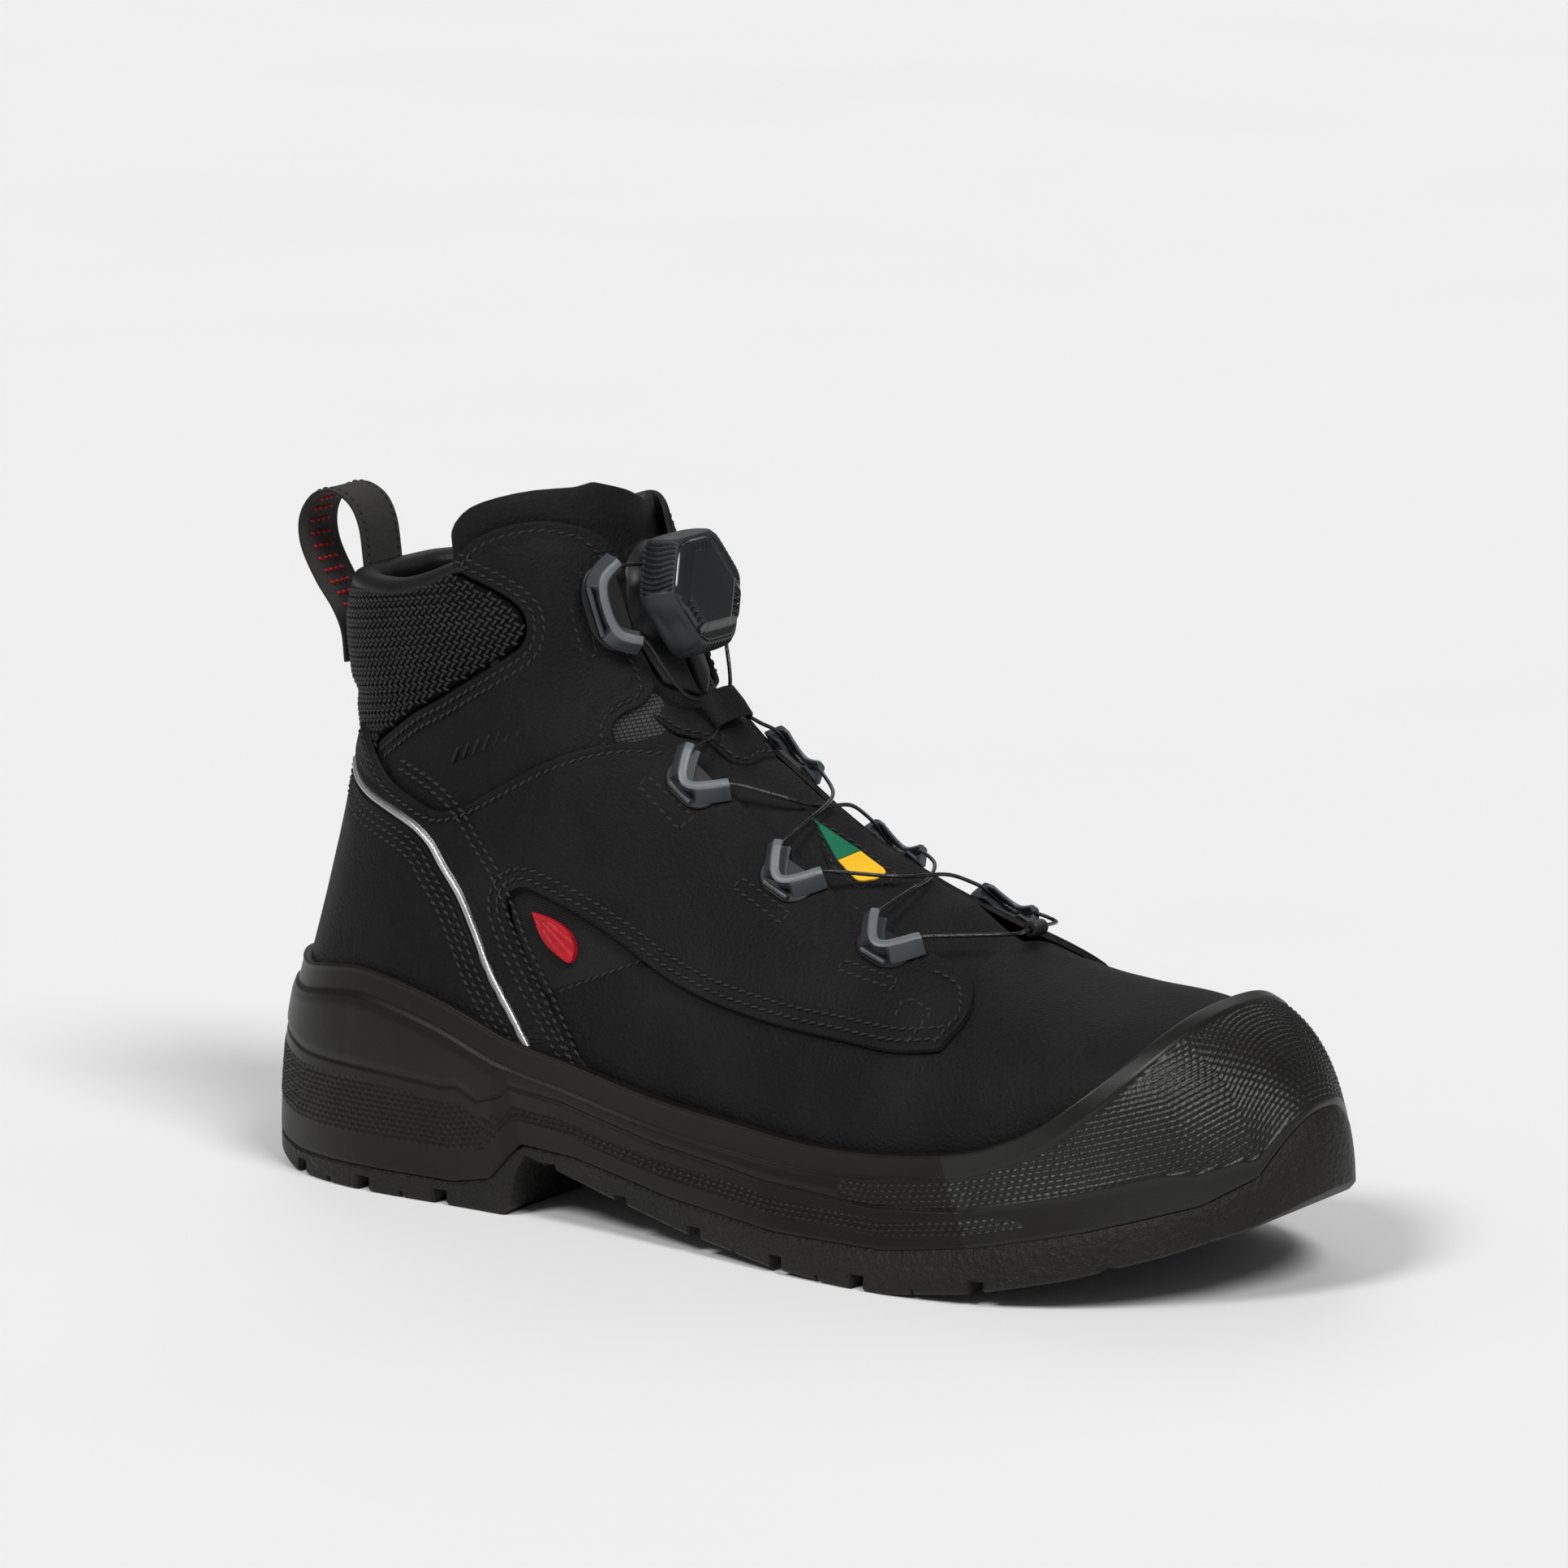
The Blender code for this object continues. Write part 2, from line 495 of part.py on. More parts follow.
def build_sole():
    cavity = envelope("upper_space")
    line = [(x, z) for x, z in PARTING]
    below = prism("below_parting", [(x, z - GAP / 2) for x, z in line] + [(175, -20), (-175, -20)],
                  -80, 80)
    above = prism("above_parting", [(x, z + GAP / 2) for x, z in line] + [(175, 120), (-175, 120)],
                  -80, 80)
    rear = prism("rear_part", [(-175, -20), (BUMPER_X - GAP / 2, -20), (BUMPER_X - GAP / 2, 120),
                               (-175, 120)], -80, 80)
    front = prism("front_part", [(BUMPER_X + GAP / 2, -20), (175, -20), (175, 120),
                                 (BUMPER_X + GAP / 2, 120)], -80, 80)
    for name, cuts, look in (("outsole", (below,), "rubber"), ("midsole", (above, rear), "foam"),
                             ("toe_bumper", (above, front), "rubber")):
        part = sole_wall(name)
        part.hide_render = False
        part.display_type = "TEXTURED"
        part.data.materials.append(material(look))
        boolean(part, cavity)
        for cut in cuts:
            boolean(part, cut, "INTERSECT")
        if name == "outsole":
            boolean(part, tread_slots("tread_slots"))


def build_bottom_stack():
    edge = lateral(LASTING, 2)
    inside = [(t, q * 0.93) for t, q in edge]
    whole = [(9.0, 0.0)] + inside + [(18.2, 0.0)] + other_side(inside)
    inner = [(t, q * 0.83) for t, q in edge[1:-1] if surface(t, q)[0] > FOOTBED_BACK]
    slice_of_skin("puncture_plate", whole, PLATE, "steel")
    slice_of_skin("insole_board", whole, BOARD, "board")
    slice_of_skin("footbed", [(9.75, 0.0)] + inner + [(17.6, 0.0)] + other_side(inner), FOOTBED, "foam")
    shank = [(10.2, -.03), (11.5, -.026), (12.8, -.026), (12.8, .026), (11.5, .026), (10.2, .03)]
    slice_of_skin("shank", shank, SHANK, "steel")


def build_upper():
    bottom = lateral([(x, z + 1.5) for x, z in LASTING], 2)
    piping = lateral(PIPING_LINE, 3)
    heel_side = lateral(beside(PIPING_LINE, -SEAM), 1)
    quarter_side = lateral(beside(PIPING_LINE, SEAM), 1)[::-1]
    quarter = (lateral(QUARTER_TOP, 2) + lateral(EYESTAY, 2)[1:] + lateral(QUARTER_FRONT, 2)[1:]
               + lateral(QUARTER_LOW, 2)[1:] + quarter_side)
    slice_of_skin("quarter_lateral", quarter, OVERLAY, "nubuck")
    slice_of_skin("quarter_medial", [(t, -q) for t, q in quarter[::-1]], OVERLAY, "nubuck")

    heel_low = lateral([(-50, 39), (-80, 45), (-110, 49), (-138, 48)], 2)[1:]
    heel = heel_side[:-1] + heel_low + other_side(heel_low) + other_side(heel_side[:-1])
    slice_of_skin("heel_panel", heel, OVERLAY, "nubuck")

    counter = lateral([(-134, 96), (-112, 90), (-90, 78), (-74, 60), (-66, 46), (-64, 37)], 2)
    counter += [p for p in bottom[::-1] if p[0] < 10.9]
    counter = [(4.9, -.05)] + counter
    slice_of_skin("heel_counter", counter + other_side(counter), STIFFENER, "board")

    vamp = lateral([(-38, 35), (-45, 44), (-52, 60)], 2) + lateral([(-50, 61.5), (-33, 68.5)], 2)
    vamp += lateral([(-30, 70), (-5, 72.5), (20, 71.5), (45, 68), (60, 71.5), (64, 76.5)], 2)
    vamp.append((12.35, -.93))
    front = [p for p in bottom if p[0] > 11.6]
    vamp = (vamp + [(12.3, -1.0)] + over_crown(vamp) + [(t, -2 - q) for t, q in front]
            + [(18.7, -1.6), (18.7, -1.0), (18.7, -.4)] + front[::-1])
    slice_of_skin("vamp", vamp, BASE, "nubuck")

    cap = [p for p in bottom if p[0] > 14.3]
    cap = ([(14.2, cap[0][1] - .015), (14.1, -.55), (14.0, -.8), (13.9, -1.0)]
           + [(14.0, -1.2), (14.1, -1.45), (14.2, -2 - cap[0][1] + .015)]
           + [(t, -2 - q) for t, q in cap] + [(18.6, -1.6), (18.6, -1.0), (18.6, -.4)] + cap[::-1])
    slice_of_skin("steel_toe_cap", cap, STIFFENER, "steel")

    patch = lateral([(-61.5, 80), (-55.5, 66), (-51.5, 63)], 2)
    patch += lateral([(-50, 63.6), (-33, 70.4), (-28, 73)], 2) + lateral([(-29, 79), (-45, 85)], 2)
    patch += lateral([(-60, 89), (-66, 86)], 1)
    slice_of_skin("badge_panel_lateral", patch, BASE, "mesh")
    slice_of_skin("badge_panel_medial", [(t, -q) for t, q in patch[::-1]], BASE, "mesh")
    slice_of_skin("badge", lateral(BADGE_RED, 2), (-0.4, -1.8), "badge_red")

    ankle = (lateral(ANKLE_TOP, 2) + lateral(ANKLE_FRONT, 2)[1:]
             + lateral([(-53, 112), (-61, 108), (-71, 102), (-80, 97), (-89, 94), (-100, 97),
                        (-109, 102.5), (-115, 110.5)], 2))
    mesh_side = lateral(beside(MESH_EDGE, -EDGE_GAP), 1)
    ankle += mesh_side
    slice_of_skin("ankle_panel_lateral", ankle, BASE, "nubuck")
    slice_of_skin("ankle_panel_medial", [(t, -q) for t, q in ankle[::-1]], BASE, "nubuck")

    back = lateral([(-114.6, 117.6), (-117.5, 111.5), (-121, 106.5), (-131, 104.5)], 2)
    edge = lateral(beside(MESH_EDGE, EDGE_GAP), 1)[1:]
    rim = lateral(RIM, 2)
    padded = back[::-1] + edge + rim
    slice_of_skin("collar_mesh", padded + other_side(padded), BASE, "mesh")

    gusset = lateral([(-46, 135), (-36, 139), (-29, 131), (-27, 120), (-34, 115), (-43, 121)], 2)
    slice_of_skin("gusset_lateral", gusset, GUSSET, "mesh")
    slice_of_skin("gusset_medial", [(t, -q) for t, q in gusset[::-1]], GUSSET, "mesh")

    tongue_edge = lateral(TONGUE_SIDE, 2)
    lining_edge = [(t, q + .03) for t, q in tongue_edge][2:-1]
    low = [p for p in bottom if 8.9 < p[0] < 12.6]
    shaft = ([(3.05, 0.0)] + lateral(RIM, 2)[::-1][1:-1] + lining_edge
             + lateral([(26, 76), (26, 50), (26, 29)], 1) + [p for p in low[::-1]
                                                            if surface(*p)[0] < 24])
    slice_of_skin("collar_lining", shaft + [(8.4, 0.0)] + other_side(shaft), LINING, "lining")
    vamp_edge = lateral([(29, 29), (29, 50), (29, 72), (42, 71), (55, 73.5)], 1)
    low = [p for p in bottom if surface(*p)[0] > 31]
    lined = (vamp_edge + [(12.45, -.93), (12.4, -1.0)] + over_crown(vamp_edge + [(12.45, -.93)])
             + [(t, -2 - q) for t, q in low] + [(18.4, -1.6), (18.4, -1.0), (18.4, -.4)] + low[::-1])
    slice_of_skin("vamp_lining", lined, LINING, "lining")

    return piping, tongue_edge


def crown_rise(t, q, deep, shallow):
    """Depth that rises from deep under the eyestays to shallow on the crown, and sinks at the dial."""
    across = np.clip((np.abs(q) - .80) / .10, 0, 1)
    lifted = np.clip((t - 4.6) / .6, 0, 1)
    return deep + (shallow - deep) * across**2 * (3 - 2 * across) * lifted


def build_tongue(tongue_edge):
    def face(t, q):
        q = np.where(q < -1, -2 - q, q)
        top = np.clip((2.0 - t) / .8, 0, 1)
        return np.maximum(crown_rise(t, q, -6.0, -3.2), -6.0 + 3.4 * top)

    def back(t, q):
        thin = np.clip((t - 10.5) / 1.5, 0, 1)
        return -11.8 + 5.4 * thin

    top = lateral(TONGUE_TOP, 2)
    side = tongue_edge[1:]
    top_row = top + [(1.32, -.90), (1.34, -1.0)]
    half = side[::-1] + top_row[1:]
    front = [(11.9, -.80), (12.0, -.9), (12.0, -1.0)]
    slice_of_skin("tongue", front[::-1] + half[:-1] + [(1.34, -1.0)] + over_crown(half[:-1])
                  + over_crown(front)[:-1], (face, back), "nubuck")

    def on_tongue(lift, thick):
        def outer(t, q):
            return face(t, q) + lift + thick

        def inner(t, q):
            return face(t, q) + lift
        return outer, inner

    shield = [(2.2, -.93), (3.0, -.90), (4.0, -.885), (5.0, -.88), (5.7, -.90), (6.35, -.965)]
    shield = shield + [(6.4, -1.0)] + over_crown(shield) + [(2.1, -1.0)]
    slice_of_skin("tongue_shield", shield, on_tongue(.35, .9), "nubuck")
    tag = [(7.75, -.97), (9.0, -.915), (9.95, -.925), (10.05, -.99), (8.9, -1.03), (7.8, -1.0)]
    slice_of_skin("tag_patch", tag, on_tongue(.35, 1.0), "nubuck")
    label = [(8.0, -.972), (9.1, -.937), (9.75, -.943), (9.8, -.975), (9.0, -1.0)]
    slice_of_skin("safety_tag", label, on_tongue(1.75, .5), "tag_colour")


def tube(name, points, radius, look, resolution=2):
    data = bpy.data.curves.new(name, "CURVE")
    data.dimensions = "3D"
    line = data.splines.new("POLY")
    line.points.add(len(points) - 1)
    for point, place in zip(line.points, points):
        point.co = (*(np.array(place) * MM), 1)
    data.bevel_depth = radius * MM
    data.bevel_resolution = resolution
    data.use_fill_caps = True
    obj = bpy.data.objects.new(name, data)
    bpy.context.scene.collection.objects.link(obj)
    data.materials.append(material(look))
    return obj


def spread(points, gap):
    """Points at even spacing of about gap along a smooth line."""
    line = smooth(points, 12)
    length = np.linalg.norm(np.diff(line, axis=0), axis=1).sum()
    return at_fraction(line, np.linspace(0, 1, max(2, round(length / gap)) + 1))


def build_piping(line):
    line = [p for p in line[1:-2]]
    for name, sign in (("piping_lateral", 1), ("piping_medial", -1)):
        route = [skin(t, q * sign, -.75) for t, q in line]
        tube(name, spread(route, 9.0), 0.62, "reflective", 1)


def guide_frame(x, z, side):
    """Centre and directions of a cable guide: along the eyestay, towards the crown, outward."""
    t, q = locate(x, z)
    q = -q if side == "lateral" else q
    centre = skin(t, q)
    out = outward(t, q)
    down = skin(t + .2, q) - centre
    down -= out * (down @ out)
    down /= np.linalg.norm(down)
    inward = np.cross(out, down)
    if inward @ (skin(t, q - .02 if q < 0 else q + .02) - centre) < 0:
        inward = -inward
    return centre, down, inward, out


def guide_path(length, reach):
    """Path of the guide's channel in its own plane: along, inward."""
    a, r = length / 2, reach
    return [(-a, r * .45), (-a * .86, -r * .02), (-a * .5, -r * .40), (0, -r * .48),
            (a * .5, -r * .40), (a * .86, -r * .02), (a, r * .45)]


def build_guides():
    seats = {}
    for number, (x, z, length, reach) in enumerate(GUIDES, 1):
        for side in ("lateral", "medial"):
            centre, down, inward, out = guide_frame(x + (3 if side == "medial" and number > 1 else 0),
                                                    z - (2 if side == "medial" and number > 1 else 0),
                                                    side)
            flat = smooth(guide_path(length, reach), 2)
            path = [centre + down * a + inward * b + out * GUIDE_SEAT for a, b in flat]
            turn = np.gradient(flat, axis=0)
            frames = []
            for da, db in turn:
                back = down * db - inward * da
                frames.append((back / np.linalg.norm(back), out))
            w, g = GUIDE_WALL, GUIDE_BASE
            section = [(-3.2, 0), (2.2, 0), (2.2, GUIDE_TALL - .8), (1.4, GUIDE_TALL),
                       (-1.6, GUIDE_TALL), (-1.6, GUIDE_TALL - w), (.9, GUIDE_TALL - w), (.9, g),
                       (-3.2, g)]
            sweep(f"lace_guide_{number}_{side}", path, section, frames, "nylon")
            height = (g + GUIDE_TALL - w) / 2
            channel = [p + f[0] * -.6 + out * height for p, f in zip(path, frames)][::3]
            start, end = channel[0] - channel[1], channel[-1] - channel[-2]
            seats[number, side] = ([channel[0] + start / np.linalg.norm(start) * .8] + channel
                                   + [channel[-1] + end / np.linalg.norm(end) * .8])
    return seats


def crossing(t0, q0, t1, q1, depth):
    """Points of the cable over the tongue between two guides."""
    return [skin(t0 + (t1 - t0) * f, q0 + (q1 - q0) * f, depth if f == .5 else 1.2)
            for f in (.25, .5, .75)]


def joiner_ends():
    return skin(12.3, -1.13, 1.9), skin(12.35, -1.0, 1.5)


def build_cable(seats):
    """One cable: spool, lateral top guide, keeper, down one zigzag, back up the other, spool."""
    waist = SPOOL_WAIST + CABLE_D / 2 + RUN_GAP
    h = (SPOOL_LOW + SPOOL_HIGH) / 2

    def leave(sign):
        turn = [dial_point(sign * waist * math.cos(a), waist * math.sin(a), h)
                for a in np.radians((150, 128, 108, 90))]
        return turn + [dial_point(sign * 6, waist, h), dial_point(sign * 12.3, waist + .1, h - .1),
                       dial_point(sign * 15.0, waist + .8, h - .6)]

    def through(number, side, upwards=False):
        route = seats[number, side]
        return route[::-1] if upwards else route

    start, end = joiner_ends()
    upper, lower = .9, -.7
    route = leave(1) + through(1, "lateral")
    route += [skin(4.75, -.91, .8), skin(4.95, -.96, upper), skin(5.35, -1.04, upper),
              skin(5.65, -1.09, .9)]
    route += through(2, "medial") + crossing(7.2, -1.14, 8.2, -.86, .6)
    route += through(3, "lateral") + crossing(10.0, -.86, 10.8, -1.14, .6)
    reach = (end - start) * .4
    route += through(4, "medial") + [start - reach, start, end, end + reach]
    route += through(4, "lateral", True) + crossing(10.8, -.86, 10.0, -1.14, -1.1)
    route += through(3, "medial", True) + crossing(8.2, -1.14, 7.2, -.86, -1.1)
    route += through(2, "lateral", True)
    route += [skin(5.65, -.91, .9), skin(5.35, -.96, lower), skin(4.95, -1.04, lower),
              skin(4.75, -1.09, .8)]
    route += through(1, "medial", True) + leave(-1)[::-1]
    return tube("lace", spread(route, 5.0), CABLE_D / 2, "cable", 2)


def build_small_parts():
    across = np.radians(np.linspace(-80, 80, 9))
    centre = skin(5.15, -1.0)
    out = outward(5.15, -1.0)
    down = skin(5.35, -1.0) - skin(4.95, -1.0)
    down /= np.linalg.norm(down)
    arch = [centre + np.array((0, 1, 0)) * 9.0 * math.sin(a) + out * (-1.3 + 3.6 * math.cos(a)**.6)
            for a in across]
    frames = [(down, out * math.cos(a) + np.array((0, 1, 0)) * math.sin(a)) for a in across]
    sweep("lace_keeper", arch, [(-4.5, 0), (4.5, 0), (4.5, 1.0), (-4.5, 1.0)], frames, "nubuck")

    loop = [(-129.4, 158), (-129.9, 162), (-131.3, 167), (-134.5, 171), (-140, 173.6),
            (-146, 172), (-150.3, 166), (-150.0, 159), (-145.5, 151), (-140, 145), (-137.2, 139),
            (-136.2, 132)]
    flat = smooth(loop, 2)
    turn = np.gradient(flat, axis=0)
    path = [(x, 0, z) for x, z in flat]
    frames = [((0, 1, 0), np.array((dz, 0, -dx)) / math.hypot(dx, dz)) for dx, dz in turn]
    sweep("pull_loop", path, [(-7.5, -.6), (7.5, -.6), (7.5, .6), (-7.5, .6)], frames, "webbing")

    start, end = (np.array(p) for p in joiner_ends())
    axis = (end - start) / np.linalg.norm(end - start)
    middle = (start + end) / 2
    out = outward(12.3, -1.06)
    out -= axis * (out @ axis)
    out /= np.linalg.norm(out)
    fore = np.cross(axis, out)
    rings = ((-3.4, 1.2), (-3.4, 2.0), (3.4, 2.0), (3.4, 1.2))
    sides = 10
    points = [middle + axis * s + (fore * math.cos(a) + out * math.sin(a)) * r
              for s, r in rings for a in (2 * math.pi * k / sides for k in range(sides))]
    faces = [(i * sides + k, i * sides + (k + 1) % sides, (i + 1) % 4 * sides + (k + 1) % sides,
              (i + 1) % 4 * sides + k) for i in range(4) for k in range(sides)]
    solid("cable_joiner", points, faces, "nylon")


def build_dial():
    flange = [(2.6, -.90), (2.35, -1.0), (2.6, -1.1), (3.6, -1.12), (4.35, -1.08), (4.5, -1.0),
              (4.35, -.92), (3.6, -.88)]
    wide = [(2.2, -.84), (1.9, -1.0), (2.2, -1.16), (4.8, -1.16), (5.0, -1.0), (4.8, -.84)]
    bore = CORE_R + RUN_GAP
    under = slice_of_skin("under_flange", wide, (-3.2, -14.0), None)
    rim = slice_of_skin("flange", flange, (-2.3, -3.6), None)
    base = turned("dial_base", [(HOUSING_R, -5.0), (HOUSING_R, CUP_TOP), (CUP_R, CUP_TOP),
                                (CUP_R, CUP_FLOOR), (1.2, CUP_FLOOR), (1.2, -5.0)], "nylon")
    boolean(base, under)
    boolean(base, rim, "UNION")
    waist, h = SPOOL_WAIST + CABLE_D / 2 + RUN_GAP, (SPOOL_LOW + SPOOL_HIGH) / 2
    for sign in (-1, 1):
        corners = [dial_point(sign * s, u, v) for v in (h - 1.4, h + 1.1) for u in (waist - 1.1, waist + 1.2)
                   for s in (4.5, 17)]
        boolean(base, solid(f"cable_port_{sign + 1}", corners, BOX_FACES))
    lip = .5
    turned("spool", [(bore, SPOOL_LOW), (SPOOL_R, SPOOL_LOW), (SPOOL_R, SPOOL_LOW + lip / 2),
                     (SPOOL_WAIST, SPOOL_LOW + lip), (SPOOL_WAIST, SPOOL_HIGH - lip),
                     (SPOOL_R, SPOOL_HIGH - lip / 2), (SPOOL_R, SPOOL_HIGH), (bore, SPOOL_HIGH)], "nylon")
    turned("drive_disc", [(bore, DISC_LOW), (DISC_R, DISC_LOW), (DISC_R, DISC_HIGH), (bore, DISC_HIGH)],
           "nylon")
    turned("dial_core", [(CORE_R, SPOOL_LOW), (CORE_R, CORE_TOP - 1), (CORE_HEAD_R, CORE_TOP - 1),
                         (CORE_HEAD_R, CORE_TOP)], "steel", 16, ring=False)
    lobed("knob_grip", [(KNOB_R - 1.0, KNOB_LOW), (KNOB_R, KNOB_LOW + 1.6), (KNOB_R, KNOB_HIGH - 2),
                        (KNOB_R - 1.6, KNOB_HIGH)], "knob",
          [(KNOB_BORE, KNOB_HIGH), (KNOB_BORE, CUP_TOP + .4), (HOUSING_R + .5, CUP_TOP + .4),
           (HOUSING_R + .5, KNOB_LOW)])
    lobed("knob_cap", [(CAP_R, KNOB_HIGH + RUN_GAP), (CAP_R, KNOB_HIGH + .9),
                       (CAP_R - 1.4, KNOB_HIGH + CAP_THICK)], "gloss")


clear_scene()
build_sole()
build_bottom_stack()
piping_line, tongue_line = build_upper()
build_tongue(tongue_line)
build_piping(piping_line)
build_cable(build_guides())
build_small_parts()
build_dial()
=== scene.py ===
"""Looks of the right-foot safety work boot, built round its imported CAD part.

Lengths are millimetres until a mesh is written; X runs to the toe, Y to the medial side, Z up.
The upper follows the CAD's lofted skin S(t, q): t runs from the collar round the heel to the toe,
q goes round each section, 0 at the rear or bottom, -1 at the front or top on the lateral side.
"""

import math

import bpy
import numpy as np
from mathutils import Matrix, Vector, geometry


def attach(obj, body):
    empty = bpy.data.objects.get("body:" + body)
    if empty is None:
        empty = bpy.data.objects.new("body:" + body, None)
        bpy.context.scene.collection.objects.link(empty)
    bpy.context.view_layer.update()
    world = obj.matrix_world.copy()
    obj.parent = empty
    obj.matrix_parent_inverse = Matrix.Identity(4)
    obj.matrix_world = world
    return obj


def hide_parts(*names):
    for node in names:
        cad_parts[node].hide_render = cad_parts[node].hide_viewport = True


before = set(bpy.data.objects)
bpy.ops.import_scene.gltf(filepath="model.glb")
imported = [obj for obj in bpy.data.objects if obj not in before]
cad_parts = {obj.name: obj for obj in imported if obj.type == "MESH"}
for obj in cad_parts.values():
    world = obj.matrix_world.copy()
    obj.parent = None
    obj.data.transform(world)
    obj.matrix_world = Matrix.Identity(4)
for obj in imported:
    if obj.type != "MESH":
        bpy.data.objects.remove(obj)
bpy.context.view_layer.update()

MM = 0.001
TURN = 2 * math.pi
CHUNK = 2000  # points per step of a distance search, to spare memory

# Depth bands below the skin, outer and inner face.
OVERLAY = (0.0, -1.5)
BASE = (-2.1, -3.5)
GUSSET = (-4.1, -5.1)
BACKING = (-2.5, -4.2)
EMBLEM = (-0.2, -2.0)
PADDING = (-2.1, -6.6)
FLANGE = (-2.9, -6.6)
LINING = (-6.8, -9.2)

WALL_LIP = 2.0  # how far the sole's wall stands out from the leather at its top
EDGE_GAP = 0.5  # from the line between collar cloth and ankle panel to the edge of each
SEAM = 1.3  # from the piping's centre to the leather edge on each side

# Dial: its axis, its seat on the tongue and the sizes of its parts.
DIAL_TILT = math.radians(15.0)
DIAL_SEAT = np.array((-40.6, 0.0, 158.3))
HOUSING_R, CUP_R, CUP_FLOOR, CUP_TOP = 13.2, 11.2, 1.0, 4.0
DISC_R = 10.8
HALF_RIBBED, HALF_PLAIN = 16.3, 15.5  # from the knob's axis to its ribbed and its plain sides
KNOB_COLUMNS = 540

# Sections of the upper: rear or bottom point x z, front or top point x z, lateral and medial half
# widths, where along the section it is widest, fullness behind and in front of that, y of centre.
SECTIONS = np.array((
    (-134.0, 200, -62, 216, 36, 36, .52, 2.2, 2.2, 0),
    (-134.5, 180, -53, 196, 37, 37, .52, 2.2, 2.2, 0),
    (-135.0, 160, -45, 176, 38, 38, .52, 2.2, 2.2, 0),
    (-134.0, 142, -38, 160, 37.5, 37.5, .52, 2.2, 2.2, 0),
    (-132.5, 124, -33, 145, 36.5, 36.5, .50, 2.2, 2.2, 0),
    (-134.0, 106, -25, 132, 36.5, 36, .48, 2.3, 2.2, 0),
    (-138.5, 86, -14, 122, 37.5, 37, .44, 2.4, 2.2, 0),
    (-144.0, 64, 0, 113.5, 39, 38.5, .40, 2.6, 2.2, 0),
    (-148.0, 45, 11, 107, 41, 39.5, .36, 2.8, 2.2, 0.3),
    (-144.0, 32, 22, 101, 43, 40.5, .35, 3.0, 2.2, 0.6),
    (-112.0, 26, 33, 95.5, 45, 42, .34, 3.0, 2.2, 1.0),
    (-62.0, 26, 45, 89.5, 47.5, 44.5, .32, 3.0, 2.2, 1.4),
    (-12.0, 22, 59, 83, 50.5, 47.5, .30, 3.4, 2.2, 1.8),
    (35.0, 17, 76, 77, 52.5, 50, .32, 3.6, 2.3, 2.2),
    (70.0, 16, 94, 74, 52, 51, .34, 3.6, 2.4, 2.6),
    (100.0, 20.5, 112, 72.5, 46.5, 48, .35, 3.4, 2.5, 3.2),
    (122.0, 26.5, 127, 68.5, 36, 38.5, .36, 3.0, 2.5, 4.0),
    (137.0, 32, 139, 59.5, 25, 26, .40, 2.6, 2.4, 5.0),
    (145.5, 37, 146.5, 51, 13.5, 14.5, .46, 2.4, 2.3, 5.6),
    (149.3, 43, 149.5, 45.5, 1.5, 1.5, .5, 2.0, 2.0, 6.0),
))
LAST = len(SECTIONS) - 1

# Side-view lines, x z.
SOLE_TOP = [(-144, 56), (-133, 55.5), (-119, 58), (-109, 59), (-95, 57), (-79, 53), (-61, 47),
            (-42, 43.5), (-16, 38.5), (10, 35.5), (35, 33), (57, 33.5), (78, 36.5), (89, 40),
            (99, 45), (109, 53), (117, 61), (122, 68), (124, 70.2)]
LASTING = [(-145.5, 37), (-138, 35.5), (-112, 34.5), (-62, 33.5), (0, 29), (50, 23.5), (90, 25.5),
           (120, 33), (138, 41)]
PIPING_LINE = [(-128, 111), (-123, 106.5), (-115, 103.5), (-105, 101), (-96, 98), (-90, 94), (-86, 89),
               (-80, 82), (-75, 74), (-69, 64), (-62, 55), (-56, 47), (-50, 38)]
QUARTER_TOP = [(-121, 120), (-113, 113), (-107, 108.5), (-98, 105), (-89, 102.5), (-80, 105),
               (-71, 110), (-61, 116), (-53, 120), (-45, 123), (-36, 124.5), (-28, 124)]
EYESTAY = [(-28, 124), (-9, 111.5), (3, 103.5), (15, 95.5), (32, 86.5), (44, 82), (56, 78.3)]
QUARTER_FRONT = [(56, 78.3), (65, 75), (70, 68), (67, 60.5)]
QUARTER_LOW = [(67, 60.5), (54, 59), (39, 60), (24, 61), (8, 63), (-5, 65.5), (-18, 69.5),
               (-30, 75), (-43, 80.5), (-56, 85), (-62, 85.8), (-65.5, 82), (-63, 75), (-54, 63),
               (-42, 49), (-31, 37)]
MESH_EDGE = [(-114, 117), (-99, 127), (-91, 131), (-80, 137.5), (-71, 143), (-65, 147), (-63, 151),
             (-63.5, 155.5), (-67, 159), (-73, 162), (-79, 164), (-84, 166.5)]
RIM = [(-84, 166.5), (-93, 161.5), (-104, 158.3), (-118, 157.2), (-130, 156.8)]
ANKLE_TOP = [(-83, 168.2), (-79, 173), (-74, 176.3), (-69, 178.3), (-63, 179.8), (-57, 179.6),
             (-51, 177.3), (-46.5, 172.5)]
ANKLE_FRONT = [(-46.5, 172.5), (-43.5, 166), (-41, 156), (-38.5, 148), (-35.5, 142), (-34, 137.5),
               (-35.5, 133.8), (-39.5, 131), (-41, 127.5), (-39, 122), (-41, 117)]
TONGUE_SIDE = [(-88, 172), (-85, 160), (-76, 146), (-66, 133), (-54, 121), (-36, 108.5),
               (-14, 97), (8, 87.5), (26, 80), (40, 76)]
TONGUE_TOP = [(-88, 172), (-85, 178), (-80, 182.3), (-72, 185.5), (-63, 187.8), (-55, 188.5)]
BADGE_RED = [(-57.5, 80), (-52, 79), (-46.5, 76.5), (-43.6, 72.5), (-44.4, 68.6), (-48, 69.8)]

